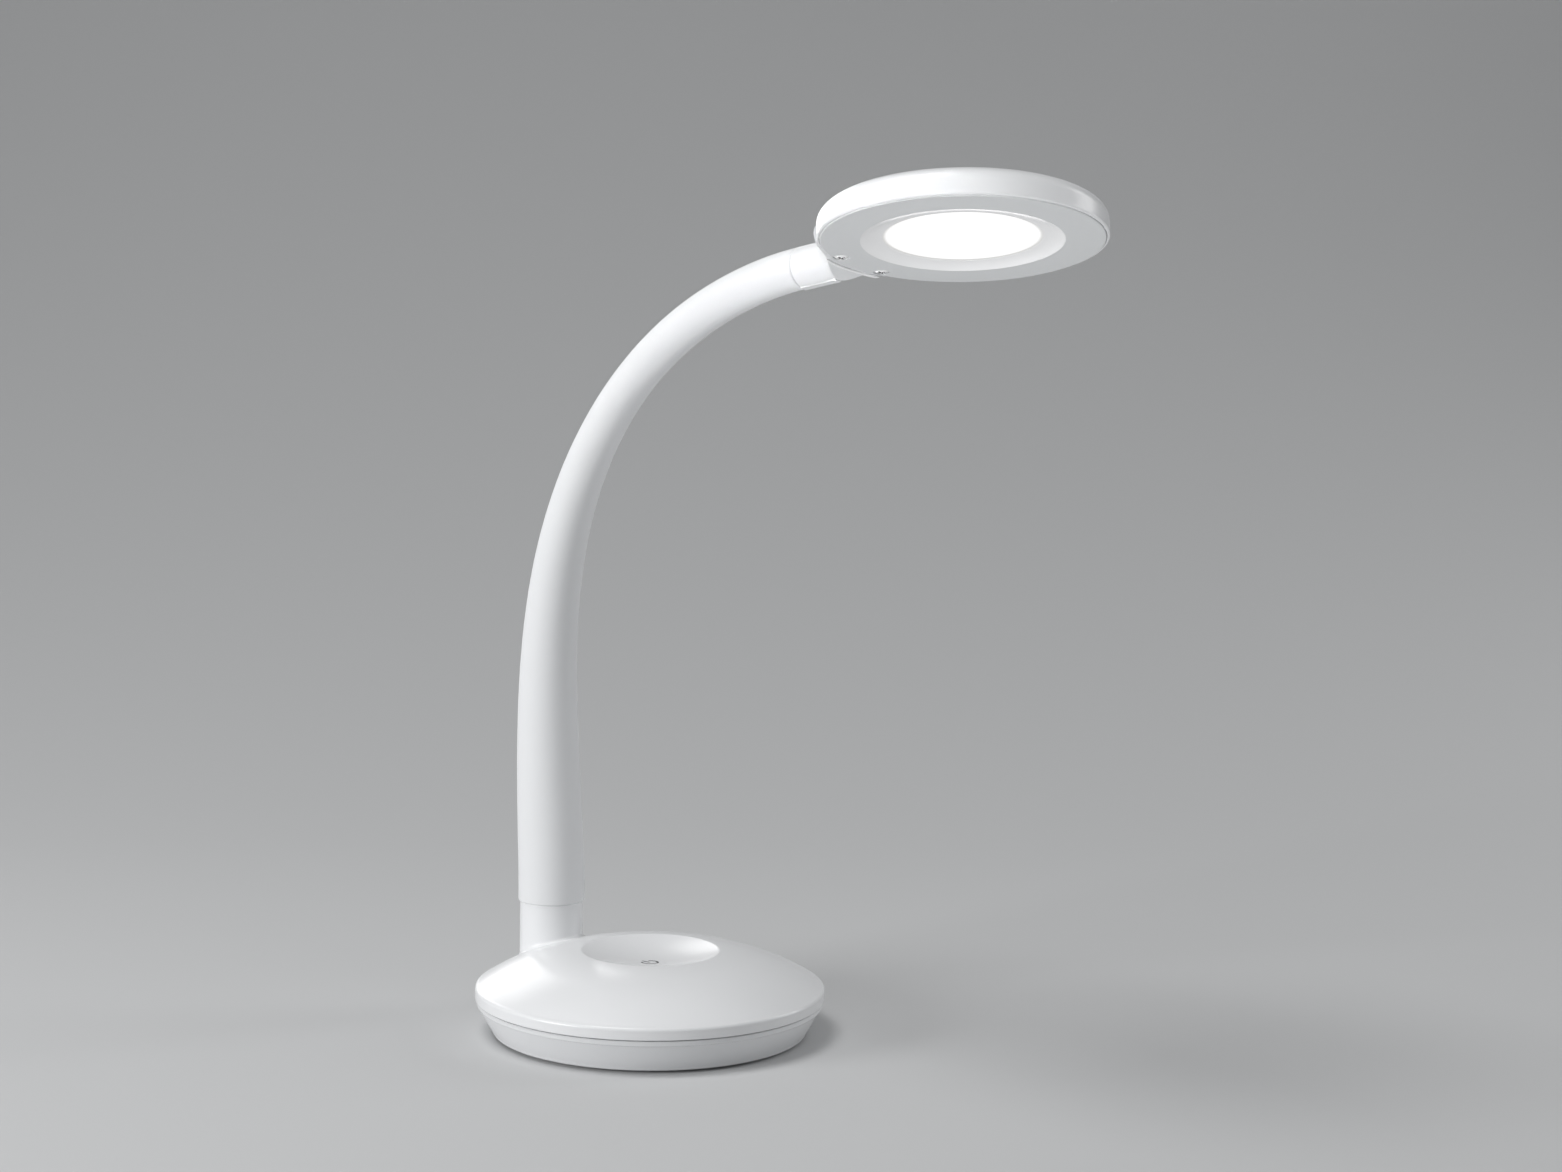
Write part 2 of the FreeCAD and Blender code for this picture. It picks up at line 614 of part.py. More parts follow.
def lens():
    """Opal diffuser disc, seated on the face ring's inner lip."""
    return cylinder(LENS_RIM_R, LENS_Z, LENS_Z + LENS_T)


def reflector():
    """White ring that spaces the lens from the light board and turns stray light back."""
    low, high = LENS_Z + LENS_T, PLATE_Z - BOARD_T
    return turned(at(28.6, low), at(LENS_RIM_R, low), at(BOARD_R, low + 0.6), at(BOARD_R, high),
                  at(26.5, high))


def light_board():
    """Aluminium board that carries the light chips."""
    board = cylinder(BOARD_R, PLATE_Z - BOARD_T, PLATE_Z)
    return board.cut(box((-BOARD_R - 1, -40, 0), (-29.0, 40, 20)))


def light_chips():
    """Ring pattern of surface-mounted light chips."""
    chips = []
    length, width, thick = CHIP_SIZE
    high = PLATE_Z - BOARD_T
    for radius, count in CHIP_RINGS:
        for x, y in around(count, radius):
            chip = box((-length / 2, -width / 2, high - thick), (length / 2, width / 2, high))
            chip.rotate(V(0, 0, 0), UP, math.degrees(math.atan2(y, x)))
            chips.append(chip.translated(V(x, y, 0)))
    return joined(chips)


def heat_plate():
    """Aluminium plate that spreads the board's heat, screwed to the housing."""
    plate = cylinder(PLATE_R, PLATE_Z, PLATE_Z + PLATE_T)
    for x, y in plate_places():
        plate = plate.cut(cylinder(PLATE_HOLE_R + 0.2, 0, 20, x, y))
    for x, y in around(6, 35.0, 30):
        plate = plate.cut(cylinder(2.2, 0, 20, x, y))
    return plate


def plate_screws():
    """Three screws of the heat plate."""
    head_t, shank_r = 1.4, PLATE_HOLE_R - 0.05
    return joined([pan_screw(x, y, PLATE_Z - head_t, 2.2, head_t, shank_r, 10.0) for x, y in plate_places()])


def upper_ferrule():
    """Steel end of the neck, crimped on the conduit, which the collar's bush turns on."""
    start = COLLAR_END - 6
    body = rod(FERRULE_R, start, FERRULE_END, 0, COLLAR_AXIS_Z)
    body = body.cut(rod(CONDUIT_R, start - 1, COLLAR_END + 6.4, 0, COLLAR_AXIS_Z))
    body = body.cut(rod(WIRE_BORE_R, start, FERRULE_END + 1, 0, COLLAR_AXIS_Z))
    return body.cut(rod_tube(8, FERRULE_R - 0.7, CLIP_X, CLIP_X + 1.0, COLLAR_AXIS_Z))


def swivel_bush():
    """Bush in the collar that turns on the ferrule."""
    inner = FERRULE_R + BUSH_CLEARANCE
    return rod_tube(BUSH_R, inner, COLLAR_END + TWIST_GAP, BUSH_END, COLLAR_AXIS_Z)


def retaining_clip():
    """Open spring clip in the ferrule's groove, which keeps the head on the neck."""
    ring = rod_tube(BUSH_R - 0.1, FERRULE_R - 0.7, CLIP_X + 0.1, CLIP_X + 0.9, COLLAR_AXIS_Z)
    return ring.cut(box((CLIP_X - 1, -1.6, COLLAR_AXIS_Z), (CLIP_X + 2, 1.6, COLLAR_AXIS_Z + 9)))


def head_wires():
    """Two insulated wires from the neck's end to the light board."""
    wires = []
    for y in (-0.9, 0.9):
        points = [V(FERRULE_END + 0.5, y, COLLAR_AXIS_Z), V(-43, y, COLLAR_AXIS_Z),
                  V(-36, y, PLATE_Z - 0.6), V(-29.0, y, PLATE_Z - 0.6)]
        wires.append(bent_wire(points, 6.0, 0.55))
    return joined(wires)


def head_placement():
    """Where the head's frame lies on the lamp: its collar is on the neck's end."""
    end, angle = neck_place(NECK_LENGTH)
    tilt = FreeCAD.Rotation(V(0, 1, 0), -math.degrees(angle))
    turn = tilt.multiply(FreeCAD.Rotation(ALONG, HEAD_ROLL))
    origin = end - turn.multVec(V(COLLAR_END, 0, COLLAR_AXIS_Z))
    return FreeCAD.Placement(origin, turn)


# All nodes

def base_nodes():
    """Pieces of the base."""
    return {"base_top_cover": top_cover(), "base_tray": tray(), "ballast_weight": weight(),
            "foot_ring": foot_ring(), "tray_screws": tray_screws(), "control_board": control_board(),
            "board_screws": board_screws(), "driver_coil": driver_coil(),
            "driver_capacitor": driver_capacitor(), "board_connector": board_connector(),
            "touch_plate": touch_plate(), "touch_foam": touch_foam(), "lead_gland": lead_gland(),
            "lower_ferrule": lower_ferrule(), "lock_washer": lock_washer(), "lock_nut": lock_nut(),
            "base_wires": base_wires()}


def head_nodes():
    """Pieces of the head, still in the head's own frame."""
    return {"head_housing": housing(), "collar_strip": collar_strip(), "face_ring": bezel(),
            "face_screws": bezel_screws(), "lens_diffuser": lens(), "light_reflector": reflector(),
            "light_board": light_board(), "light_chips": light_chips(), "heat_plate": heat_plate(),
            "plate_screws": plate_screws(), "upper_ferrule": upper_ferrule(),
            "swivel_bush": swivel_bush(), "retaining_clip": retaining_clip(),
            "head_wires": head_wires()}


def moved(shape, place):
    """A copy of a shape at a placement."""
    copy = shape.copy()
    copy.Placement = place.multiply(copy.Placement)
    return copy


def main():
    """Write one file for each node."""
    os.makedirs("parts", exist_ok=True)
    nodes = base_nodes()
    nodes.update(neck_sleeves())
    nodes.update(neck_conduits())
    place = head_placement()
    for name, shape in head_nodes().items():
        nodes[name] = moved(shape, place)
    for name, shape in nodes.items():
        shape.exportStep("parts/%s.step" % name)
        print("%-22s %2d solids %10.1f mm3" % (name, len(shape.Solids), shape.Volume), shape.isValid())


main()
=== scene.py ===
import json
import logging
import math
from dataclasses import dataclass
from enum import Enum

import bmesh
import bpy
import numpy as np
from mathutils import Matrix, Vector

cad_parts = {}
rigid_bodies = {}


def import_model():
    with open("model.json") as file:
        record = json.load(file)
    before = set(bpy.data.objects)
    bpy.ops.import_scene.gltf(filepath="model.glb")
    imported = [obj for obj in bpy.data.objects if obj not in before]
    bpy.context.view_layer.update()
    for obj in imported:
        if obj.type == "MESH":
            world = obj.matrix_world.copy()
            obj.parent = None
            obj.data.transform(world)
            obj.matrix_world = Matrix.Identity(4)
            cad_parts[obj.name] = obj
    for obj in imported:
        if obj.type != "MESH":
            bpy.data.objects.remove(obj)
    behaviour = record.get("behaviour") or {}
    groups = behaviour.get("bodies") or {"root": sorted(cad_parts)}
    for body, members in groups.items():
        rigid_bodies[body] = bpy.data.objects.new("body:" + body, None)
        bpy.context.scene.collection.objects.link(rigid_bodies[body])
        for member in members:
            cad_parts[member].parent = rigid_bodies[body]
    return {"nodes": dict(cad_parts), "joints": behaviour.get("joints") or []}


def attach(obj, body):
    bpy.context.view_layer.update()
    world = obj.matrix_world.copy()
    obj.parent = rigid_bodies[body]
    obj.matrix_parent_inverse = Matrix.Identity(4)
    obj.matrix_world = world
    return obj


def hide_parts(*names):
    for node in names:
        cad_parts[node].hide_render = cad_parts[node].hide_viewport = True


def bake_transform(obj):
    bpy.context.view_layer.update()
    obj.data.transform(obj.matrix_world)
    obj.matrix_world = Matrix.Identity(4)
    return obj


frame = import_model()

# A white gooseneck desk lamp. Shapes are worked out in millimetres, in the lamp's own frame or in
# the head's, and put into metres when a mesh is made.

log = logging.getLogger("desk_lamp")

MM = 0.001
FULL_TURN = 360
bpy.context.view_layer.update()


# Formulas

def smooth_least(a: np.ndarray, b: np.ndarray, reach: float) -> np.ndarray:
    """Minimum of two fields with a rounded seam.

    With h = clip(1/2 + (b - a) / (2 reach), 0, 1) it is b (1 - h) + a h - reach h (1 - h).

    Args:
        a: First field.
        b: Second field.
        reach: How far apart the fields may be and still blend.

    Returns:
        The blended field.
    """
    h = np.clip(0.5 + (b - a) / (2 * reach), 0, 1)
    return b * (1 - h) + a * h - reach * h * (1 - h)


def smooth_step(t: np.ndarray) -> np.ndarray:
    """Ramp t t (3 - 2 t) from 0 to 1, level at both ends."""
    t = np.clip(t, 0, 1)
    return t * t * (3 - 2 * t)


def on_circle(radius: float, degrees: np.ndarray) -> np.ndarray:
    """Points (radius cos a, radius sin a), one row for each angle."""
    angle = np.radians(degrees)
    return radius * np.stack([np.cos(angle), np.sin(angle)], axis=-1)


@dataclass(frozen=True)
class Arc:
    """Circular arc of a profile, through three points (radius, height)."""

    start: tuple[float, float]
    middle: tuple[float, float]
    end: tuple[float, float]

    def circle(self) -> tuple[np.ndarray, float]:
        """Centre and radius: the centre is as far from all three points, which gives two linear
        equations."""
        a, b, c = (np.array(p) for p in (self.start, self.middle, self.end))
        centre = np.linalg.solve(2 * np.array([b - a, c - a]), [b @ b - a @ a, c @ c - a @ a])
        return centre, float(np.linalg.norm(a - centre))

    def points(self, count: int) -> np.ndarray:
        """Points evenly spaced along the arc.

        Args:
            count: Number of points, both ends included.

        Returns:
            Array of (radius, height) rows.
        """
        centre, radius = self.circle()
        low, mid, high = (math.atan2(p[1] - centre[1], p[0] - centre[0])
                          for p in (self.start, self.middle, self.end))
        mid = low + (mid - low + math.pi) % (2 * math.pi) - math.pi
        turn = (high - low) % (2 * math.pi)
        if mid < low:
            turn -= 2 * math.pi
        angles = low + turn * np.linspace(0, 1, count)
        return centre + radius * np.stack([np.cos(angles), np.sin(angles)], axis=-1)

    def height(self, r: np.ndarray) -> np.ndarray:
        """Height over radius r: centre height plus or minus sqrt(radius^2 - (r - centre)^2), on
        the side where the middle point lies."""
        centre, radius = self.circle()
        side = 1 if self.middle[1] > centre[1] else -1
        return centre[1] + side * np.sqrt(np.maximum(radius ** 2 - (r - centre[0]) ** 2, 0))


def line(start: tuple[float, float], end: tuple[float, float], count: int = 2) -> np.ndarray:
    """Points evenly spaced on a straight stretch of a profile."""
    return np.linspace(start, end, count)


def turned(profile: np.ndarray, degrees: np.ndarray) -> np.ndarray:
    """Profile turned about +Z: the point (r, z) goes to (r cos a, r sin a, z) at each angle a.

    Args:
        profile: Rows of (radius, height).
        degrees: Angles of the columns.

    Returns:
        Grid of points, one row for each row of the profile.
    """
    ring = on_circle(1.0, degrees)
    flat = profile[:, None, :1] * ring[None]
    height = np.broadcast_to(profile[:, None, 1:], flat.shape[:2] + (1,))
    return np.concatenate([flat, height], axis=-1)


ROUND = np.arange(FULL_TURN, dtype=float)


class Surface:
    """Closed surface put together from grids of points, in millimetres, in its own frame."""

    def __init__(self) -> None:
        """Start with nothing in it."""
        self.points: list[np.ndarray] = []
        self.quads: list[np.ndarray] = []
        self.levels: list[float] = []
        self.count = 0

    def grid(self, points: np.ndarray, loop: bool = True) -> "Surface":
        """Add a grid of points and the four-sided faces between its rows and columns.

        Args:
            points: Array of rows, columns and x, y, z.
            loop: Whether each row closes on itself.

        Returns:
            The surface itself, for the next call.
        """
        rows, columns = points.shape[:2]
        index = np.arange(rows * columns).reshape(rows, columns) + self.count
        near = index if loop else index[:, :-1]
        far = np.roll(index, -1, axis=1) if loop else index[:, 1:]
        quads = np.stack([near[:-1], far[:-1], far[1:], near[1:]], axis=-1)
        self.points.append(points.reshape(-1, 3))
        self.quads.append(quads.reshape(-1, 4))
        self.count += rows * columns
        return self

    def lathe(self, *parts: np.ndarray, degrees: np.ndarray = ROUND, centre: tuple = (0, 0)) -> "Surface":
        """Add a profile turned about an upright axis.

        Args:
            parts: Stretches of the profile, rows of (radius, height).
            degrees: Angles of the columns.
            centre: x and y of the axis.

        Returns:
            The surface itself, for the next call.
        """
        points = turned(np.concatenate(parts), degrees)
        return self.grid(points + np.array([*centre, 0.0]))

    def level(self, height: float) -> "Surface":
        """Ask for flat faces, round any holes, in what is left open at a height."""
        self.levels.append(height)
        return self

    def build(self, name: str, place: Matrix | None = None, crease: float = 32.0) -> bpy.types.Object:
        """Make the mesh: merge what meets, close flat openings, turn faces outwards.

        Args:
            name: Name of the piece.
            place: From the surface's frame to the lamp's, in metres, or None where they agree.
            crease: Edges sharper than this, in degrees, stay crisp.

        Returns:
            The piece, with its place in its mesh.
        """
        mesh = bpy.data.meshes.new(name)
        points = np.concatenate(self.points) * MM
        mesh.from_pydata(points.tolist(), [], np.concatenate(self.quads).tolist())
        made = bmesh.new()
        made.from_mesh(mesh)
        bmesh.ops.remove_doubles(made, verts=made.verts, dist=0.002 * MM)
        for height in self.levels:
            rim = [e for e in made.edges if e.is_boundary
                   and all(abs(v.co.z - height * MM) < 0.001 * MM for v in e.verts)]
            bmesh.ops.triangle_fill(made, edges=rim, use_beauty=True)
        bmesh.ops.recalc_face_normals(made, faces=made.faces)
        made.to_mesh(mesh)
        left_open = sum(e.is_boundary for e in made.edges)
        made.free()
        if place is not None:
            mesh.transform(place)
        mesh.shade_smooth()
        mesh.set_sharp_from_angle(angle=math.radians(crease))
        piece = bpy.data.objects.new(name, mesh)
        bpy.context.scene.collection.objects.link(piece)
        log.info("%s: %d faces, %d open edges", name, len(mesh.polygons), left_open)
        return piece


# Finishes

class Tree:
    """Material's node tree, with short calls for adding nodes and links."""

    def __init__(self, tree: bpy.types.NodeTree) -> None:
        """Args:
            tree: The tree to add to.
        """
        self.tree = tree

    def add(self, kind: str, **values: object) -> bpy.types.Node:
        """Add a node and set properties on it.

        Args:
            kind: Blender's type name of the node.
            values: Properties to set.

        Returns:
            The new node.
        """
        node = self.tree.nodes.new(kind)
        for key, value in values.items():
            setattr(node, key, value)
        return node

    def feed(self, node: bpy.types.Node, **sockets: object) -> None:
        """Set or link inputs by name, with an underscore for a space.

        Args:
            node: The node whose inputs are fed.
            sockets: A value, or the output socket to link from.
        """
        for key, value in sockets.items():
            socket = node.inputs[key.replace("_", " ")]
            if isinstance(value, bpy.types.NodeSocket):
                self.tree.links.new(value, socket)
            else:
                socket.default_value = value


def mottle_group() -> bpy.types.NodeTree:
    """Node group of what every moulded or handled surface shows: a faint uneven colour, patches
    of higher roughness where it is handled, and a fine moulded grain.

    Returns:
        The group, with outputs Color, Roughness and Normal.
    """
    group = bpy.data.node_groups.get("Moulded surface")
    if group:
        return group
    group = bpy.data.node_groups.new("Moulded surface", "ShaderNodeTree")
    make = group.interface.new_socket
    for name, kind, value in (("Colour", "NodeSocketColor", (0.8, 0.8, 0.8, 1)),
                              ("Tint", "NodeSocketFloat", 0.02), ("Roughness", "NodeSocketFloat", 0.3),
                              ("Patches", "NodeSocketFloat", 0.05), ("Grain size", "NodeSocketFloat", 1500.0),
                              ("Grain height", "NodeSocketFloat", 0.1)):
        make(name, in_out="INPUT", socket_type=kind).default_value = value
    for name, kind in (("Color", "NodeSocketColor"), ("Roughness", "NodeSocketFloat"),
                       ("Normal", "NodeSocketVector")):
        make(name, in_out="OUTPUT", socket_type=kind)
    tree = Tree(group)
    given, out = tree.add("NodeGroupInput").outputs, tree.add("NodeGroupOutput")
    place = tree.add("ShaderNodeTexCoord").outputs["Object"]
    broad = tree.add("ShaderNodeTexNoise")
    tree.feed(broad, Vector=place, Scale=28.0, Detail=3.0, Roughness=0.55)
    swing = tree.add("ShaderNodeMapRange")
    tree.feed(swing, Value=broad.outputs["Fac"], From_Min=0.3, From_Max=0.7, To_Min=-1.0, To_Max=1.0)
    tint = tree.add("ShaderNodeMath", operation="MULTIPLY_ADD")
    tree.tree.links.new(swing.outputs["Result"], tint.inputs[0])
    tree.tree.links.new(given["Tint"], tint.inputs[1])
    tint.inputs[2].default_value = 1.0
    colour = tree.add("ShaderNodeVectorMath", operation="SCALE")
    tree.tree.links.new(given["Colour"], colour.inputs[0])
    tree.tree.links.new(tint.outputs[0], colour.inputs["Scale"])
    smear = tree.add("ShaderNodeTexNoise")
    tree.feed(smear, Vector=place, Scale=75.0, Detail=4.0, Roughness=0.6)
    patch = tree.add("ShaderNodeMapRange", interpolation_type="SMOOTHSTEP")
    tree.feed(patch, Value=smear.outputs["Fac"], From_Min=0.45, From_Max=0.75)
    rough = tree.add("ShaderNodeMath", operation="MULTIPLY_ADD")
    tree.tree.links.new(patch.outputs["Result"], rough.inputs[0])
    tree.tree.links.new(given["Patches"], rough.inputs[1])
    tree.tree.links.new(given["Roughness"], rough.inputs[2])
    grain = tree.add("ShaderNodeTexNoise")
    tree.feed(grain, Vector=place, Scale=given["Grain size"], Detail=2.0)
    bump = tree.add("ShaderNodeBump")
    tree.feed(bump, Strength=given["Grain height"], Distance=0.00005, Height=grain.outputs["Fac"])
    tree.tree.links.new(colour.outputs["Vector"], out.inputs["Color"])
    tree.tree.links.new(rough.outputs[0], out.inputs["Roughness"])
    tree.tree.links.new(bump.outputs["Normal"], out.inputs["Normal"])
    return group


@dataclass(frozen=True)
class Finish:
    """Moulded, cast or plated surface with an uneven colour, handled patches and a fine grain."""

    name: str
    colour: tuple[float, float, float]
    roughness: float
    tint: float = 0.012
    patches: float = 0.05
    grain_size: float = 1500.0
    grain_height: float = 0.08
    metallic: float = 0.0
    coat: float = 0.0
    coat_roughness: float = 0.05
    specular: float = 0.5
    sheen: float = 0.0

    def material(self) -> bpy.types.Material:
        """The finish as a material, made once.

        Returns:
            The material.
        """
        found = bpy.data.materials.get(self.name)
        if found:
            return found
        made = bpy.data.materials.new(self.name)
        made.use_nodes = True
        tree = Tree(made.node_tree)
        shader = made.node_tree.nodes["Principled BSDF"]
        surface = tree.add("ShaderNodeGroup", node_tree=mottle_group())
        tree.feed(surface, Colour=(*self.colour, 1), Tint=self.tint, Roughness=self.roughness,
                  Patches=self.patches, Grain_size=self.grain_size, Grain_height=self.grain_height)
        tree.feed(shader, Base_Color=surface.outputs["Color"], Roughness=surface.outputs["Roughness"],
                  Normal=surface.outputs["Normal"], Metallic=self.metallic, Coat_Weight=self.coat,
                  Coat_Roughness=self.coat_roughness, Specular_IOR_Level=self.specular,
                  Sheen_Weight=self.sheen)
        return made


@dataclass(frozen=True)
class LitLens:
    """Opal lens lit from behind: white where it is seen, dimmed towards its edge as painted shade of the gap between
    lens and ring, a little wider on one side, and strong enough to light the flare and the screws beside it."""

    name: str = "opal_lit"
    radius: float = 27.0
    centre: tuple[float, float, float] = (0.0, 0.0, 0.0)
    seen: float = 1.02
    thrown: float = 1.8
    edge: float = 0.50
    shade_shift: tuple[float, float, float] = (0.0005, -0.0006, 0.0)

    def material(self) -> bpy.types.Material:
        """The lens as a material: emission by the distance from its middle.

        Returns:
            The material.
        """
        made = bpy.data.materials.new(self.name)
        made.use_nodes = True
        tree = Tree(made.node_tree)
        shader = made.node_tree.nodes["Principled BSDF"]
        place = tree.add("ShaderNodeTexCoord").outputs["Object"]
        # Painted shade: the dimming is measured from a point a little off the lens's centre, so the shade at the rim
        # is wider on one side.
        away = tree.add("ShaderNodeVectorMath", operation="DISTANCE")
        tree.tree.links.new(place, away.inputs[0])
        away.inputs[1].default_value = [c + d for c, d in zip(self.centre, self.shade_shift)]
        # Painted shade at the rim: the glow dims to edge over the outer part of the radius.
        edge_shade = tree.add("ShaderNodeMapRange", interpolation_type="SMOOTHERSTEP")
        tree.feed(edge_shade, Value=away.outputs["Value"], From_Min=0.92 * self.radius * MM,
                  From_Max=1.01 * self.radius * MM, To_Min=1.0, To_Max=self.edge)
        level = tree.add("ShaderNodeMapRange")
        tree.feed(level, Value=tree.add("ShaderNodeLightPath").outputs["Is Camera Ray"],
                  To_Min=self.thrown, To_Max=self.seen)
        light = tree.add("ShaderNodeMath", operation="MULTIPLY")
        tree.tree.links.new(edge_shade.outputs["Result"], light.inputs[0])
        tree.tree.links.new(level.outputs["Result"], light.inputs[1])
        glow = tree.add("ShaderNodeVectorMath", operation="SCALE")
        glow.inputs[0].default_value = (1.0, 0.995, 0.985)
        tree.tree.links.new(light.outputs[0], glow.inputs["Scale"])
        tree.feed(shader, Base_Color=(0.10, 0.10, 0.10, 1), Roughness=0.35,
                  Emission_Color=glow.outputs["Vector"], Emission_Strength=1.0)
        return made


GLOSS_WHITE = Finish("gloss_white", (0.80, 0.805, 0.81), 0.08, tint=0.006, patches=0.03,
                     grain_size=420.0, grain_height=0.006, coat=0.6, coat_roughness=0.03)
TRAY_WHITE = Finish("tray_white", (0.76, 0.765, 0.77), 0.22, tint=0.008, patches=0.06,
                    grain_size=900.0, grain_height=0.03)
FACE_GREY = Finish("face_grey", (0.72, 0.725, 0.73), 0.34, tint=0.008, patches=0.05,
                   grain_size=2600.0, grain_height=0.12)
SLEEVE_WHITE = Finish("sleeve_white", (0.76, 0.765, 0.77), 0.40, tint=0.014, patches=0.08,
                      grain_size=2100.0, grain_height=0.10, specular=0.42, sheen=0.06)
SIGN_GREY = Finish("sign_grey", (0.05, 0.052, 0.058), 0.45, tint=0.03, specular=0.3)
STEEL = Finish("steel", (0.62, 0.62, 0.63), 0.30, tint=0.03, patches=0.12, metallic=1.0,
               grain_size=900.0, grain_height=0.10)
BRIGHT_ZINC = Finish("bright_zinc", (0.80, 0.80, 0.81), 0.24, tint=0.02, patches=0.10, metallic=1.0,
                     grain_size=1600.0, grain_height=0.05)
SCREW_WHITE = Finish("screw_white", (0.93, 0.93, 0.93), 0.25, tint=0.01, coat=0.3)
# Painted light: a lighter copy of the white, for the lit recess flare of the face ring and a painted highlight on the
# rim ridge.
PAINTED_LIGHT_WHITE = Finish("painted_light_white", (0.95, 0.95, 0.955), 0.20, tint=0.005)
# Painted shade: near-black for the shadow inside the screws' cross recesses.
PAINTED_CROSS_SHADE = Finish("painted_cross_shade", (0.04, 0.04, 0.045), 0.5, tint=0.05)
BRASS = Finish("bush_brass", (0.80, 0.62, 0.30), 0.28, tint=0.03, patches=0.1, metallic=1.0)
COPPER = Finish("copper_foil", (0.80, 0.44, 0.30), 0.25, tint=0.04, patches=0.15, metallic=1.0)
ALUMINIUM = Finish("aluminium", (0.77, 0.78, 0.79), 0.34, tint=0.02, patches=0.08, metallic=1.0)
BOARD_GREEN = Finish("board_green", (0.04, 0.22, 0.09), 0.32, tint=0.05, patches=0.05)
BLACK_PLASTIC = Finish("black_plastic", (0.03, 0.03, 0.033), 0.42, tint=0.10, patches=0.10)
NYLON = Finish("connector_white", (0.78, 0.75, 0.66), 0.45, tint=0.03)
FOOT_RUBBER = Finish("foot_rubber", (0.10, 0.10, 0.105), 0.75, tint=0.12, patches=0.15,
                     grain_size=1800.0, grain_height=0.25)
GLAND_RUBBER = Finish("gland_rubber", (0.68, 0.69, 0.70), 0.55, tint=0.03, patches=0.1,
                      grain_size=1800.0, grain_height=0.15)
FOAM = Finish("foam_black", (0.04, 0.04, 0.04), 0.9, tint=0.2, grain_size=1200.0, grain_height=0.8)
WIRE = Finish("wire_white", (0.78, 0.78, 0.75), 0.4, tint=0.02)
PHOSPHOR = Finish("chip_yellow", (0.86, 0.72, 0.22), 0.3, tint=0.04)
MATT_WHITE = Finish("reflector_white", (0.84, 0.84, 0.83), 0.6, tint=0.01)

NODE_FINISHES = {
    "ballast_weight": STEEL, "foot_ring": FOOT_RUBBER, "tray_screws": BRIGHT_ZINC,
    "control_board": BOARD_GREEN, "board_screws": BRIGHT_ZINC, "driver_coil": BLACK_PLASTIC,
    "driver_capacitor": BLACK_PLASTIC, "board_connector": NYLON, "touch_plate": COPPER,
    "touch_foam": FOAM, "lower_ferrule": STEEL, "lock_washer": STEEL, "lock_nut": STEEL,
    "base_wires": WIRE, "collar_strip": GLOSS_WHITE, "light_reflector": MATT_WHITE,
    "light_board": ALUMINIUM, "light_chips": PHOSPHOR, "heat_plate": ALUMINIUM,
    "plate_screws": BRIGHT_ZINC, "upper_ferrule": STEEL, "swivel_bush": BRASS,
    "retaining_clip": STEEL, "head_wires": WIRE, "neck_conduit": STEEL}


class Body(Enum):
    """Bodies that new pieces ride on."""

    BASE = "base"
    TIP = "tip"
    HEAD = "head"


def dress(piece: bpy.types.Object, finish: bpy.types.Material) -> None:
    """Give a new piece its material.

    Args:
        piece: The piece.
        finish: Its material.
    """
    piece.data.materials.clear()
    piece.data.materials.append(finish)


# Base

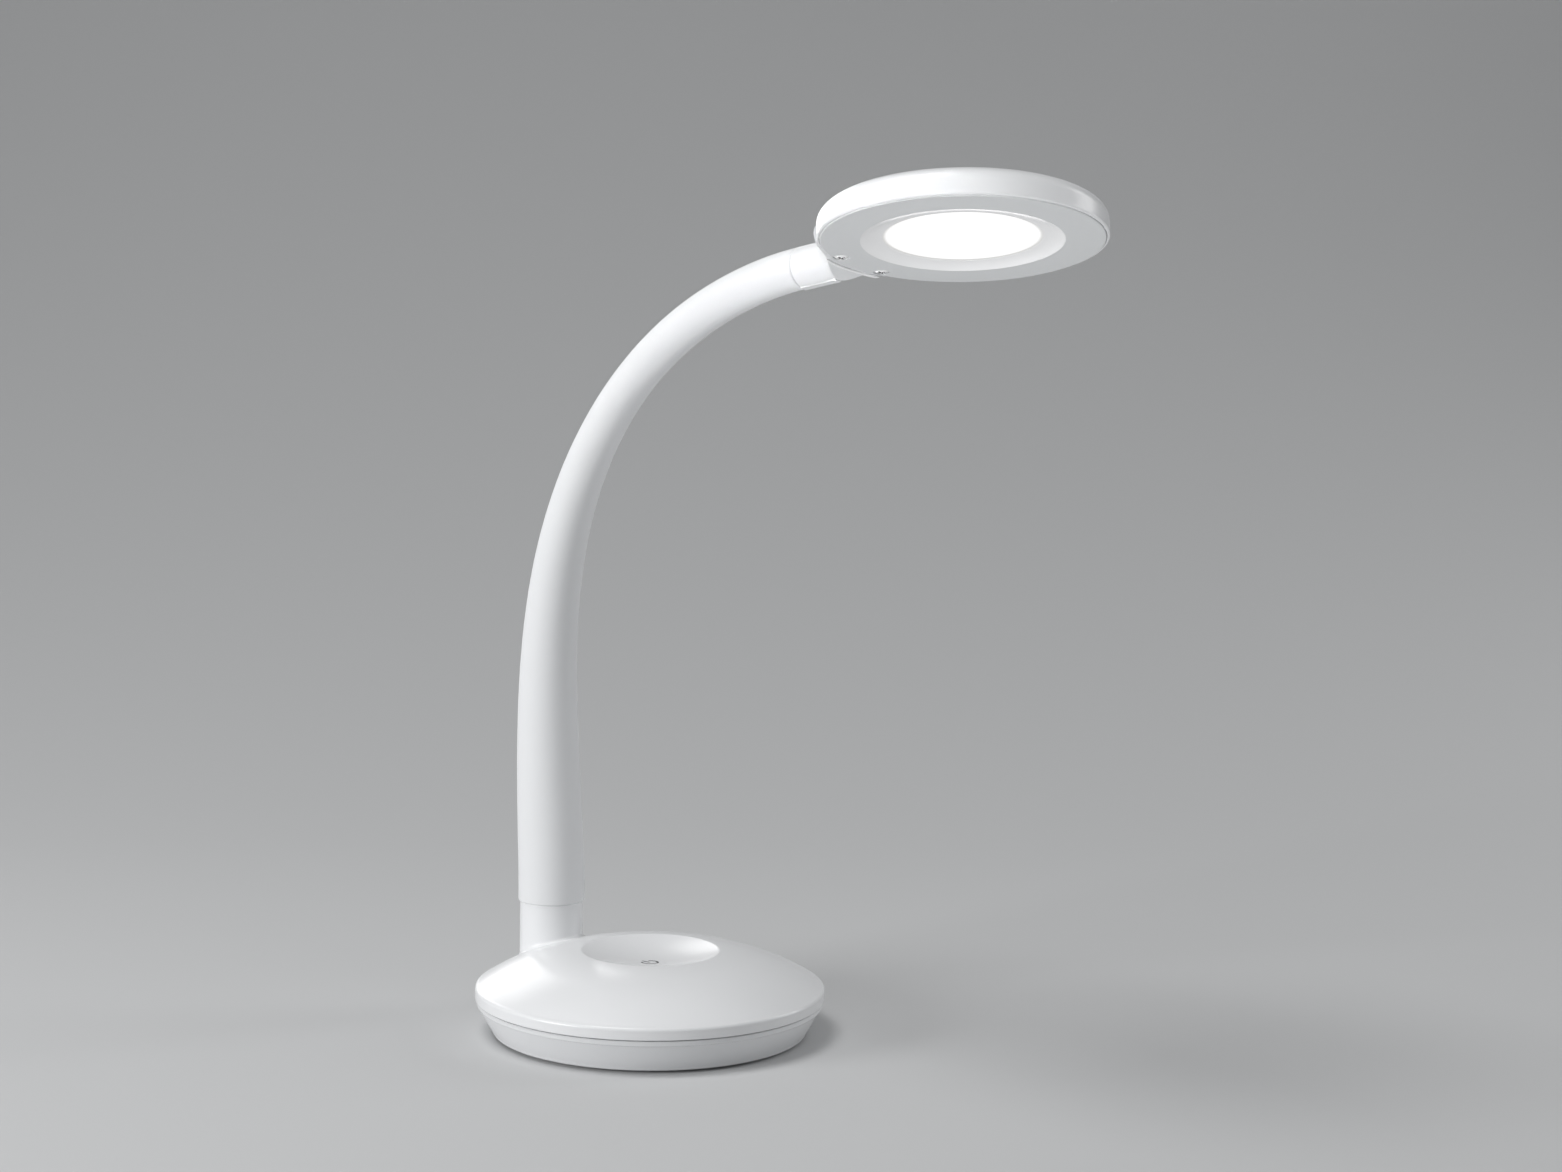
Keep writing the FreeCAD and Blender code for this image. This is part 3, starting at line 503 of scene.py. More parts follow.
@dataclass
class Base:
    """Domed cover with its touch dish and the neck's socket, and the tapered tray under it."""

    rim_r: float = 65.0
    band: tuple[float, float] = (13.8, 16.9)
    dish_r: float = 26.2
    dish_rim: float = 31.32
    dish_floor: float = 27.2
    dome_end: tuple[float, float] = (63.9, 18.35)
    dome_bulge: float = 2.4
    socket_x: float = -50.8
    socket_r: float = 12.0
    socket_top: float = 42.6
    socket_bore: float = 9.8
    fillet: float = 1.5
    sector: float = 22.0
    sector_inner: float = 33.0
    roll_cut: float = 64.6

    def dome(self) -> Arc:
        """Arc of the dome, from under the dish's rim out to the rounded edge."""
        start, end = np.array([27.4, 31.05]), np.array(self.dome_end)
        chord = end - start
        out = np.array([-chord[1], chord[0]]) / np.linalg.norm(chord)
        return Arc(tuple(start), tuple(start + chord / 2 + out * self.dome_bulge), tuple(end))

    def roll(self) -> Arc:
        """Rounded edge between dome and band."""
        return Arc(self.dome_end, (self.rim_r - 0.25, 17.8), (self.rim_r, self.band[1]))

    def height(self, r: np.ndarray) -> np.ndarray:
        """Height of the cover's top over radius r: the lesser of the dish's ball and the dome,
        with a rounded seam, and the rounded edge outside the dome.

        Args:
            r: Radii, up to the rim's.

        Returns:
            The heights.
        """
        rise = self.dish_rim - self.dish_floor
        ball = (self.dish_r ** 2 + rise ** 2) / (2 * rise)
        bowl = self.dish_floor + ball - np.sqrt(np.maximum(ball ** 2 - r ** 2, 0))
        top = smooth_least(bowl, self.dome().height(r), 0.16)
        return np.where(r > self.dome_end[0], self.roll().height(r), top)

    def socket_blend(self) -> tuple[np.ndarray, np.ndarray, np.ndarray]:
        """Patch of the cover round the socket.

        The patch is a sector of the cover. Its edge points run once round the socket, and each
        joins the socket's circle along a ray from the socket's axis. A ray's first stretch is a
        quarter round of the fillet: out by fillet (1 - cos a), up by fillet (1 - sin a).

        Returns:
            The grid of points, the unit rays, and the socket's foot heights.
        """
        angles = np.arange(180 - self.sector, 180 + self.sector + 0.5)
        radii = self.radial_stations()
        corner = len(angles) - 1
        outer, inner = on_circle(self.roll_cut, angles), on_circle(self.sector_inner, angles)[::-1]
        side = radii[:, None] * on_circle(1.0, angles[:1])
        back = (radii[:, None] * on_circle(1.0, angles[corner:]))[::-1]
        edge = np.concatenate([side[:-1], outer[:-1], back[:-1], inner[:-1]])
        axis = np.array([self.socket_x, 0.0])
        reach = np.linalg.norm(edge - axis, axis=-1)
        rays = (edge - axis) / reach[:, None]
        a = np.radians(np.linspace(0, 90, 9))
        quarter = self.socket_r + self.fillet * (1 - np.cos(a))
        lift = self.fillet * (1 - np.sin(a))
        further = np.linspace(0, 1, 16)[1:] ** 1.5
        out = np.concatenate([
            np.broadcast_to(quarter[:, None], (len(a), len(edge))),
            quarter[-1] + further[:, None] * (reach - quarter[-1])])
        lift = np.concatenate([lift, np.zeros(len(further))])[:, None]
        flat = axis + out[..., None] * rays
        z = self.height(np.linalg.norm(flat, axis=-1)) + lift
        return np.concatenate([flat, z[..., None]], axis=-1), rays, z[0]

    def radial_stations(self) -> np.ndarray:
        """Radii of the grid's rows over the dome, closer together at the rounded edge."""
        return np.concatenate([np.linspace(self.sector_inner, 62.0, 30), [62.8, 63.4, 63.9, 64.1, 64.3, 64.45, 64.6]])

    def cover(self) -> bpy.types.Object:
        """Top cover with its dish, rounded rim, dome, socket and hollow inside.

        Returns:
            The piece.
        """
        made = Surface()
        near_rim = np.concatenate([np.linspace(0, 22.0, 30), np.linspace(22.5, 29.5, 36), [30.5, 31.7, 33.0]])
        made.lathe(np.stack([near_rim, self.height(near_rim)], axis=-1))
        radii = self.radial_stations()
        profile = np.stack([radii, self.height(radii)], axis=-1)
        open_part = np.arange(180 + self.sector, 540 - self.sector + 0.5)
        made.grid(turned(profile, open_part), loop=False)
        patch, rays, foot = self.socket_blend()
        made.grid(patch)
        self.socket(made, rays, foot)
        roll = self.roll().points(40)
        edge = np.concatenate([[[self.roll_cut, float(self.height(np.array(self.roll_cut)))]],
                               roll[roll[:, 0] > self.roll_cut + 0.01]])
        made.lathe(edge, line((self.rim_r, self.band[1]), (self.rim_r, self.band[0] + 0.15), 5)[1:],
                   line((self.rim_r - 0.15, self.band[0]), (62.8, self.band[0])))
        made.lathe(line((62.8, self.band[0]), (62.8, 15.4)), line((61.9, 16.9), (61.9, 16.9)),
                   Arc((61.9, 16.9), (45.4, 24.75), (25.5, 28.75)).points(24)[1:],
                   Arc((25.5, 28.75), (18.5, 26.2), (10.5, 24.8)).points(10)[1:], line((0, 24.8), (0, 24.8)))
        return made.build("cover_shell")

    def socket(self, made: Surface, rays: np.ndarray, foot: np.ndarray) -> None:
        """Add the socket's wall, rounded mouth and blind bore to the cover.

        Args:
            made: The cover's surface.
            rays: Unit rays of its columns.
            foot: Height of its foot in each column.
        """
        def ring(radius: float, heights: np.ndarray | float) -> np.ndarray:
            flat = np.array([self.socket_x, 0.0]) + radius * rays
            z = np.broadcast_to(heights, len(rays))
            return np.concatenate([flat, z[:, None]], axis=-1)

        soft = 0.4
        rise = np.linspace(0, 1, 9)
        wall = [ring(self.socket_r, foot + t * (self.socket_top - soft - foot)) for t in rise]
        for a in np.radians((22.5, 45, 67.5, 90)):
            wall.append(ring(self.socket_r - soft * (1 - math.cos(a)), self.socket_top - soft * (1 - math.sin(a))))
        wall += [ring(self.socket_bore, self.socket_top), ring(self.socket_bore, 34.2), ring(0.0, 34.2)]
        made.grid(np.array(wall))

    def tray(self) -> bpy.types.Object:
        """Tapered tray with its lip, the groove over it, and its underside with the foot ring's
        groove and four screw recesses.

        Returns:
            The piece.
        """
        made = Surface()
        made.lathe(line((60.4, 15.3), (62.4, 15.3)), line((62.4, 13.3), (64.15, 13.3)),
                   line((64.4, 13.05), (64.4, 11.75)), line((64.15, 11.4), (63.75, 11.25)),
                   Arc((63.6, 11.05), (61.3, 6.6), (58.7, 2.1)).points(16),
                   Arc((58.7, 2.1), (58.35, 1.3), (57.5, 1.0)).points(8)[1:], line((52.2, 1.0), (52.2, 2.0)),
                   line((45.8, 2.0), (45.8, 1.0)), line((44.8, 1.0), (44.8, 1.0)))
        made.lathe(line((60.4, 15.3), (60.4, 11.4)), line((59.1, 7.0), (56.7, 3.2)), line((54.0, 3.2), (54.0, 3.2)))
        whole = np.arange(0, FULL_TURN, 10.0)
        for x, y in on_circle(38.0, np.array([45.0, 135.0, 225.0, 315.0])):
            made.lathe(line((3.4, 1.0), (3.4, 5.0)), line((1.7, 5.0), (1.7, 11.2)), line((4.6, 11.2), (4.6, 3.2)),
                       degrees=whole, centre=(x, y))
        return made.level(1.0).level(3.2).build("tray_shell")

    def gland(self) -> tuple[bpy.types.Object, bpy.types.Object]:
        """Boss in the tray's back and the rubber gland in it, turned about the lead's axis.

        Returns:
            The boss and the gland.
        """
        place = Matrix.Translation(Vector((0, 0, 7.4)) * MM) @ Matrix.Rotation(math.radians(-90), 4, "Y")
        around = np.arange(0, FULL_TURN, 6.0)
        boss = Surface().lathe(line((3.05, 58.5), (5.8, 58.5)), line((5.8, 62.6), (5.5, 62.9)),
                               line((3.05, 62.9), (3.05, 58.5)), degrees=around).build("gland_boss", place)
        lip = Arc((3.8, 63.7), (3.65, 64.05), (3.3, 64.2)).points(6)
        gland = Surface().lathe(line((2.1, 57.0), (4.0, 57.0)), line((4.0, 58.45), (3.0, 58.45)),
                                line((3.0, 62.92), (3.8, 62.92)), lip, line((2.5, 64.2), (2.1, 63.8)),
                                line((2.1, 57.0), (2.1, 57.0)), degrees=around).build("supply_gland", place)
        return boss, gland

    def sign(self) -> bpy.types.Object:
        """Printed on/off sign in the dish: a broken ring and a bar, lying on the dish.

        Returns:
            The piece.
        """
        radius, half, proud = 2.95, 0.40, 0.03
        centre, facing = np.array([2.6, -3.3]), 180.0
        made = Surface()
        sweep = facing + np.linspace(38, 322, 72)
        toward = on_circle(1.0, np.array([facing]))[0]
        across = np.array([-toward[1], toward[0]])
        ring = [centre + on_circle(radius + side * half, sweep) for side in (-1, 1)]
        along = np.linspace(0.1, 3.7, 12)[:, None] * toward
        bar = [centre + along + side * half * across for side in (-1, 1)]
        for left, right in (ring, bar):
            rows = []
            for flat, lift in ((left, proud), (right, proud), (right, -proud), (left, -proud), (left, proud)):
                z = self.height(np.linalg.norm(flat, axis=-1)) + lift
                rows.append(np.concatenate([flat, z[:, None]], axis=-1))
            grid = np.array(rows)
            made.grid(grid, loop=False)
            for end in (0, -1):
                made.grid(np.array([[grid[0, end], grid[1, end]], [grid[3, end], grid[2, end]]]), loop=False)
        return made.build("touch_sign")

    def make(self) -> None:
        """Build and dress the base's pieces."""
        cover, tray = self.cover(), self.tray()
        boss, gland = self.gland()
        sign = self.sign()
        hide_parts("base_top_cover")
        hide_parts("base_tray")
        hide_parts("lead_gland")
        dress(cover, GLOSS_WHITE.material())
        dress(tray, TRAY_WHITE.material())
        dress(boss, TRAY_WHITE.material())
        dress(gland, GLAND_RUBBER.material())
        dress(sign, SIGN_GREY.material())
        for piece in (cover, tray, boss, gland, sign):
            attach(piece, Body.BASE.value)


# Neck

class Centreline:
    """The neck's centreline: arcs from one hinge to the next, each tangent to the one before.

    An arc's chord lies half its turn off the tangent at its start, so the turn is twice the
    difference of the two directions.
    """

    def __init__(self, start: np.ndarray, hinges: list[np.ndarray]) -> None:
        """Args:
            start: Point (x, z) of the seam on the socket, in millimetres, going straight up.
            hinges: Points of the hinges and of the neck's end.
        """
        self.points = [start] + hinges
        self.angles = [math.pi / 2]
        self.places = [0.0]
        for here, there in zip(self.points, self.points[1:]):
            chord = there - here
            half = math.atan2(chord[1], chord[0]) - self.angles[-1]
            self.angles.append(self.angles[-1] + 2 * half)
            self.places.append(self.places[-1] + float(np.linalg.norm(chord)) * half / math.sin(half))

    def at(self, s: np.ndarray) -> tuple[np.ndarray, np.ndarray]:
        """Points and direction angles along the neck.

        Args:
            s: Distances from the seam, along the centreline.

        Returns:
            Rows of (x, z), and the angles above +X.
        """
        places, angles, points = (np.array(v) for v in (self.places, self.angles, self.points))
        k = np.clip(np.searchsorted(places, s, side="right") - 1, 0, len(places) - 2)
        share = (s - places[k]) / (places[k + 1] - places[k])
        half = (angles[k + 1] - angles[k]) * share / 2
        chord = (s - places[k]) * np.sinc(half / math.pi)
        middle = angles[k] + half
        offset = chord[:, None] * np.stack([np.cos(middle), np.sin(middle)], axis=-1)
        return points[k] + offset, angles[k] + 2 * half


@dataclass
class Neck:
    """Tapered silicone sleeve, in stretches that each bend over one hinge."""

    line: Centreline
    top_r: float = 7.4
    flare: float = 5.2
    taper: float = 225.0
    bore_r: tuple[float, float] = (4.65, 6.5)
    wall: float = 1.7
    edge: float = 0.5
    columns: int = 96
    from_above: tuple[str, ...] = ("lower_bend_at_03", "upper_bend", "upper_bend_at_12")

    def radius(self, s: np.ndarray) -> np.ndarray:
        """Sleeve radius: top_r + flare cos^2(90 degrees s / taper)."""
        return self.top_r + self.flare * np.cos(np.pi / 2 * np.clip(s / self.taper, 0, 1)) ** 2

    def tube(self, s: np.ndarray, r: np.ndarray) -> np.ndarray:
        """Rings round the centreline: centre + r cos a times the normal in the bending plane,
        plus r sin a along +Y.

        Args:
            s: Places of the rings.
            r: Their radii.

        Returns:
            Grid of points.
        """
        centre, angle = self.line.at(s)
        turn = np.linspace(0, 2 * np.pi, self.columns, endpoint=False)
        out = r[:, None] * np.cos(turn)
        x = centre[:, :1] + out * np.sin(angle)[:, None]
        z = centre[:, 1:] - out * np.cos(angle)[:, None]
        y = np.broadcast_to(r[:, None] * np.sin(turn), x.shape)
        return np.stack([x, y, z], axis=-1)

    def stretch(self, low: float, high: float, name: str) -> bpy.types.Object:
        """One stretch of the sleeve, with rounded edges only at the neck's own ends.

        Args:
            low: Where it starts.
            high: Where it ends.
            name: Name of the piece.

        Returns:
            The piece.
        """
        body = np.concatenate([[low, low + 0.04], np.arange(low + 0.8, high - 0.4, 0.8), [high - 0.04, high]])
        s, r = body, self.radius(body)
        a = np.radians(np.linspace(0, 90, 6))
        if low <= 0:
            s = np.concatenate([low + self.edge * (1 - np.sin(a))[::-1], body[2:]])
            r = self.radius(s)
            r[:len(a)] -= self.edge * (1 - np.cos(a))[::-1]
        if high >= self.line.places[-1] - 0.01:
            soft = high - self.edge * (1 - np.sin(a))
            s = np.concatenate([body[:-2][body[:-2] < soft[0] - 0.1], soft])
            r = self.radius(s)
            r[-len(a):] -= self.edge * (1 - np.cos(a))
        bore = np.clip(self.radius(s) - self.wall, *self.bore_r)
        s = np.concatenate([s, s[::-1], s[:1]])
        r = np.concatenate([r, bore[::-1], r[:1]])
        return Surface().grid(self.tube(s, r)).build(name)

    def make(self, joints: list[dict]) -> None:
        """Build the stretches, each from the middle of one link to the middle of the next.

        For the hinges in from_above, the ends and bodies worked out for a stretch are taken from its upper body
        first;
        nothing uses them after that. The shape is the same from either end.

        Args:
            joints: The neck's hinges, from the socket up.
        """
        places = self.line.places
        middles = [0.0] + [(a + b) / 2 for a, b in zip(places[1:-2], places[2:-1])] + [places[-1]]
        material = SLEEVE_WHITE.material()
        for k, joint in enumerate(joints):
            low, high = middles[k], middles[k + 1]
            piece = self.stretch(low, high, f"sleeve_{k + 1:02d}")
            dress(piece, material)
            hinge = places[k + 1]
            reach = min(hinge - low, high - hinge)
            ends, _ = self.line.at(np.array([hinge - reach, hinge + reach]))
            ends = [(x * MM, 0.0, z * MM) for x, z in ends]
            bodies = [joint["parent"], joint["child"]]
            if joint["name"] in self.from_above:
                ends, bodies = ends[::-1], bodies[::-1]
            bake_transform(piece)
            if k == 0:
                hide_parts("neck_sleeve_root")
            name = "tip" if k == len(joints) - 1 else f"{k + 1:02d}"
            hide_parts(f"neck_sleeve_{name}")


# Head

@dataclass
class Head:
    """Flat round head in its own frame: origin at the middle of its flat face, +X away from the
    neck, +Z up through the shell."""

    place: Matrix
    rim_r: float = 49.0
    rim_z: float = 5.6
    round_r: float = 7.0
    round_z: float = 5.35
    crown: float = 0.85
    collar_start: float = -69.2
    collar_r: float = 7.5
    collar_z: float = 3.9
    ramp: tuple[float, float] = (-53.5, -50.2)
    ring_r: float = 47.9
    recess_r: float = 34.4
    lens_r: float = 26.9
    screws: tuple[float, float] = (-43.3, 11.0)
    notch_y: tuple[float, float] = (-12.0, 10.5)
    notch_z: float = 0.45
    ridge_size: float = 0.5

    def crown_at(self, r: np.ndarray) -> np.ndarray:
        """Low crown of the top, crown (1 - (r / rim_r)^2)."""
        return self.crown * (1 - (r / self.rim_r) ** 2)

    def shell(self) -> bpy.types.Object:
        """Round shell: low-crowned top, elliptical shoulder, upright wall, and hollow inside.

        Returns:
            The piece.
        """
        flat = np.linspace(0, self.rim_r - self.round_r, 24)
        top = np.stack([flat, self.rim_z + self.round_z + self.crown_at(flat)], axis=-1)
        a = np.radians(np.linspace(90, 0, 26))[1:]
        r = self.rim_r - self.round_r + self.round_r * np.cos(a)
        shoulder = np.stack([r, self.rim_z + self.round_z * np.sin(a) + self.crown_at(r)], axis=-1)
        wall = line((self.rim_r, self.rim_z - 0.6), (self.rim_r, 1.3), 5)
        foot = Arc((self.rim_r, 1.3), (self.rim_r - 0.15, 0.6), (self.rim_r - 0.5, 0.4)).points(6)[1:]
        inside = np.concatenate([line((48.1, 0.4), (48.1, 1.9)), line((46.9, 1.9), (46.9, 6.0)),
                                 Arc((46.9, 6.0), (45.3, 8.2), (41.5, 9.0)).points(8)[1:], line((0, 9.8), (0, 9.8))])
        points = turned(np.concatenate([top, shoulder, wall, foot, inside]), ROUND)
        points[..., 2] = np.maximum(points[..., 2], self.notch(points[..., 0], points[..., 1]))
        return Surface().grid(points).build("head_shell", self.place)

    def notch(self, x: np.ndarray, y: np.ndarray) -> np.ndarray:
        """Ceiling of the shallow notch between face ring and ridge, on the collar's side: notch_z
        in the middle, down to 0 over the last 3 mm towards its two ends."""
        ends = np.minimum(y - self.notch_y[0], self.notch_y[1] - y)
        return np.where(x < 0, self.notch_z * smooth_step(ends / 3.0), 0.0)

    def ridge(self) -> bpy.types.Object:
        """Thin rounded ridge of the shell's rim across the ramp: a tube along an arc about the
        head's middle, drawn out to nothing at both ends.

        Returns:
            The piece.
        """
        sweep = np.radians(np.linspace(180 - 18.5, 180 + 15.0, 60))
        radius = self.ridge_size * smooth_step(np.minimum(np.arange(60), np.arange(60)[::-1]) / 5.0 + 0.02)
        turn = np.radians(np.arange(0, 360, 24.0))
        out = 50.15 + radius[:, None] * np.cos(turn)
        z = np.broadcast_to(-0.05 + radius[:, None] * np.sin(turn), out.shape)
        points = np.stack([out * np.cos(sweep)[:, None], out * np.sin(sweep)[:, None], z], axis=-1)
        ends = [np.broadcast_to(points[k].mean(axis=0), points[k].shape)[None] for k in (0, -1)]
        return Surface().grid(np.concatenate([ends[0], points, ends[1]])).build("rim_ridge", self.place)

    def disc_field(self, x: np.ndarray, y: np.ndarray, z: np.ndarray) -> np.ndarray:
        """Distance-like field of the round shell: less than 0 inside it. Outside the flat top it
        is the length of (r - inner radius, height over the wall scaled to the shoulder's round),
        less the shoulder's radius."""
        r = np.hypot(x, y)
        out = np.maximum(r - (self.rim_r - self.round_r), 0)
        up = np.maximum(z - self.crown_at(r) - self.rim_z, 0) * (self.round_r / self.round_z)
        return np.hypot(out, up) - self.round_r

    def tail_field(self, x: np.ndarray, y: np.ndarray, z: np.ndarray) -> np.ndarray:
        """Field of the collar and its fishtail: an ellipse in each cross-section, round at the
        collar and wider by 13 u^2.6 towards the shell, u = (x + 62) / 18."""
        u = np.clip((x + 62.0) / 18.0, 0, 1.4)
        wide = self.collar_r + 13.0 * u ** 2.6
        top = self.collar_z + self.collar_r - 1.1 * u ** 2
        low = self.collar_z - self.collar_r + 1.2 * u ** 2
        middle, tall = (top + low) / 2, (top - low) / 2
        return (np.hypot(y / wide, (z - middle) / tall) - 1) * tall

    def tail(self) -> bpy.types.Object:
        """Collar and fishtail, blended into the shell, cut by the flat ramp underneath.

        From the middle of each cross-section, rays go out to where the blended field is 0, found
        by halving the search length. Away from the blend the surface sinks just under the shell.

        Returns:
            The piece.
        """
        reach, sink = 2.6, 0.03
        x = np.concatenate([np.linspace(self.collar_start + 0.35, -59.0, 26), np.linspace(-58.6, -41.0, 72)])
        turn = np.radians(np.arange(0, 360, 1.5))
        centre = self.collar_z + 0.6
        grid_x = np.broadcast_to(x[:, None], (len(x), len(turn)))

        def field(rho: np.ndarray) -> np.ndarray:
            y, z = rho * np.cos(turn), centre + rho * np.sin(turn)
            tail, disc = self.tail_field(grid_x, y, z), self.disc_field(grid_x, y, z)
            both = smooth_least(tail, disc, reach)
            both = both + sink * smooth_step((tail - disc) / reach)
            slope = self.ramp[1] - self.ramp[0]
            low = self.collar_z - self.collar_r
            floor = low * np.clip((self.ramp[1] - grid_x) / slope, 0, 1)
            floor = np.where(np.hypot(grid_x, y) < 50.0, self.notch_z, floor)
            return np.maximum(both, floor - z)

        low, high = np.zeros(grid_x.shape), np.full(grid_x.shape, 30.0)
        for _ in range(34):
            middle = (low + high) / 2
            inside = field(middle) < 0
            low, high = np.where(inside, middle, low), np.where(inside, high, middle)
        rho = (low + high) / 2
        rows = np.stack([grid_x, rho * np.cos(turn), centre + rho * np.sin(turn)], axis=-1)

        def ring(x_at: float, radius: float) -> np.ndarray:
            y, z = radius * np.cos(turn), self.collar_z + radius * np.sin(turn)
            return np.stack([np.full(len(turn), x_at), y, z], axis=-1)[None]

        start = self.collar_start
        mouth = [ring(-60.4, 0.0), ring(-60.4, 6.2), ring(start, 6.2), ring(start, self.collar_r - 0.35),
                 ring(start + 0.1, self.collar_r - 0.1)]
        end = np.concatenate([np.full((1, len(turn), 1), x[-1]), np.zeros((1, len(turn), 1)),
                              np.full((1, len(turn), 1), centre)], axis=-1)
        return Surface().grid(np.concatenate([*mouth, rows, end])).build("collar_fairing", self.place)

    def face_ring(self) -> bpy.types.Object:
        """Face ring with its flared recess, edge and two screw seats.

        Returns:
            The piece.
        """
        made = Surface()
        edge = Arc((34.6, 0.0), (34.35, 0.02), (34.1, 0.08)).points(6)
        flare = Arc((34.0, 0.105), (30.6, 0.98), (self.lens_r + 0.2, 1.42)).points(18)
        made.lathe(line((35.0, 0.0), (34.8, 0.0)), edge, flare, line((self.lens_r, 1.45), (self.lens_r, 1.5)),
                   line((30.2, 1.5), (30.2, 1.8)), line((31.2, 1.8), (31.2, 1.8)))
        made.lathe(line((47.1, 0.0), (47.45, 0.0)), Arc((47.45, 0.0), (47.78, 0.12), (47.9, 0.45)).points(5),
                   line((47.9, 1.8), (47.1, 1.8)))
        around = np.arange(0, FULL_TURN, 7.5)
        for side in (-1, 1):
            made.lathe(line((3.1, 0.0), (2.8, 0.0)), line((2.8, 0.0), (2.8, 1.0)), line((1.4, 1.0), (1.4, 1.8)),
                       degrees=around, centre=(self.screws[0], side * self.screws[1]))
        return made.level(0.0).level(1.8).build("light_face", self.place)

    def lens(self) -> bpy.types.Object:
        """Opal lens on the ring's inner lip.

        Returns:
            The piece.
        """
        made = Surface().lathe(line((0, 1.5), (29.7, 1.5), 24), line((29.9, 1.7), (29.9, 2.8)),
                               line((29.7, 3.0), (0, 3.0), 8))
        return made.build("lens_glow", self.place)

    def screw(self, side: int) -> bpy.types.Object:
        """Cross-recessed screw in the face ring.

        The head is a dome, z = low + 0.75 (r / radius)^2, and the cross is pressed into it
        where the smaller of |x| and |y| is under the slot's half width.

        Args:
            side: -1 or 1, for the near or far screw.

        Returns:
            The piece.
        """
        radius, low, top, depth, slot, reach = 2.4, -0.5, 1.0, 1.1, 0.42, 1.5
        r = np.concatenate([np.linspace(0, 1.7, 26), np.linspace(1.75, radius, 8)])
        flat = r[:, None, None] * on_circle(1.0, np.arange(0, FULL_TURN, 3.0) + 15.0)[None]
        least = np.min(np.abs(flat), axis=-1)
        pressed = smooth_step((slot + 0.08 - least) / 0.12) * smooth_step((reach - r[:, None]) / 0.15)
        z = low + 0.75 * (r[:, None] / radius) ** 2 + depth * pressed
        face = np.concatenate([flat, z[..., None]], axis=-1)
        around = np.arange(0, FULL_TURN, 3.0) + 15.0
        rest = turned(np.array([[radius, low + 0.75], [radius, top], [1.2, top], [1.2, 7.5], [0, 7.5]]), around)
        made = Surface().grid(np.concatenate([face, rest]) + np.array([self.screws[0], side * self.screws[1], 0]))
        return made.build(f"face_screw_{'near' if side < 0 else 'far'}", self.place)

    def finish_within(self, piece: bpy.types.Object, finish: Finish, middle: tuple[float, float],
                      radius: float, between: tuple[float, float]) -> None:
        """Give the faces near an upright axis, between two heights, a finish of their own.

        Args:
            piece: The piece, already dressed.
            finish: Their finish.
            middle: x and y of the axis in the head's frame.
            radius: How far from the axis they may be.
            between: Lowest and highest place of their middles.
        """
        piece.data.materials.append(finish.material())
        back = self.place.inverted()
        for face in piece.data.polygons:
            at = (back @ face.center) / MM
            near = math.hypot(at.x - middle[0], at.y - middle[1]) < radius
            face.material_index = int(near and between[0] < at.z < between[1])

    def make(self) -> None:
        """Build and dress the head's pieces."""
        shell, tail, ring, lens = self.shell(), self.tail(), self.face_ring(), self.lens()
        ridge = self.ridge()
        screws = [self.screw(side) for side in (-1, 1)]
        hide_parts("head_housing")
        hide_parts("head_housing")
        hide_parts("head_housing")
        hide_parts("face_ring")
        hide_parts("lens_diffuser")
        dress(shell, GLOSS_WHITE.material())
        dress(tail, GLOSS_WHITE.material())
        # Painted highlight: the rim ridge takes the lighter white instead of the shell's gloss white.
        dress(ridge, PAINTED_LIGHT_WHITE.material())
        dress(ring, FACE_GREY.material())
        # Painted light: the recess flare inside the face ring takes the lighter white where it stands lit.
        self.finish_within(ring, PAINTED_LIGHT_WHITE, (0.0, 0.0), self.recess_r, (0.04, 1.5))
        middle = tuple(self.place @ Vector((0, 0, 1.5 * MM)))
        dress(lens, LitLens(radius=self.lens_r, centre=middle).material())
        for screw in screws:
            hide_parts("face_screws")
            dress(screw, SCREW_WHITE.material())
        for screw, side in zip(screws, (-1, 1)):
            place = (self.screws[0], side * self.screws[1])
            # Painted shade on the faces pressed into each screw's cross recess.
            self.finish_within(screw, PAINTED_CROSS_SHADE, place, 1.62, (-0.1, 0.98))
        for piece in (shell, tail, ridge, ring, lens, *screws):
            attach(piece, Body.HEAD.value)


# Studio

@dataclass(frozen=True)
class Viewpoint:
    """The photograph's camera, from the lamp's axis."""

    distance: float = 1096.078
    height: float = 292.084
    azimuth: float = 41.348
    yaw: float = -2.418
    pitch: float = -6.452
    roll: float = 0.976
    focal_px: float = 3000.0
    image_width_px: float = 1562.0
    sensor: float = 36.0

    def make(self) -> None:
        """Create the camera and make it the scene's."""
        az, yaw = math.radians(self.azimuth), math.radians(self.yaw)
        pitch, roll = math.radians(self.pitch), math.radians(self.roll)
        place = Vector((math.sin(az), -math.cos(az), 0)) * self.distance + Vector((0, 0, self.height))
        ahead = Matrix.Rotation(yaw, 3, "Z") @ Vector((-math.sin(az), math.cos(az), 0))
        up = Vector((0, 0, 1))
        right = ahead.cross(up)
        look = ahead * math.cos(pitch) + up * math.sin(pitch)
        above = right.cross(look)
        columns = (right * math.cos(roll) + above * math.sin(roll),
                   above * math.cos(roll) - right * math.sin(roll), -look)
        data = bpy.data.cameras.new("view")
        data.sensor_width = self.sensor
        data.lens = self.focal_px / self.image_width_px * self.sensor
        camera = bpy.data.objects.new("view", data)
        camera.matrix_world = Matrix.Translation(place * MM) @ Matrix(columns).transposed().to_4x4()
        bpy.context.scene.collection.objects.link(camera)
        bpy.context.scene.camera = camera


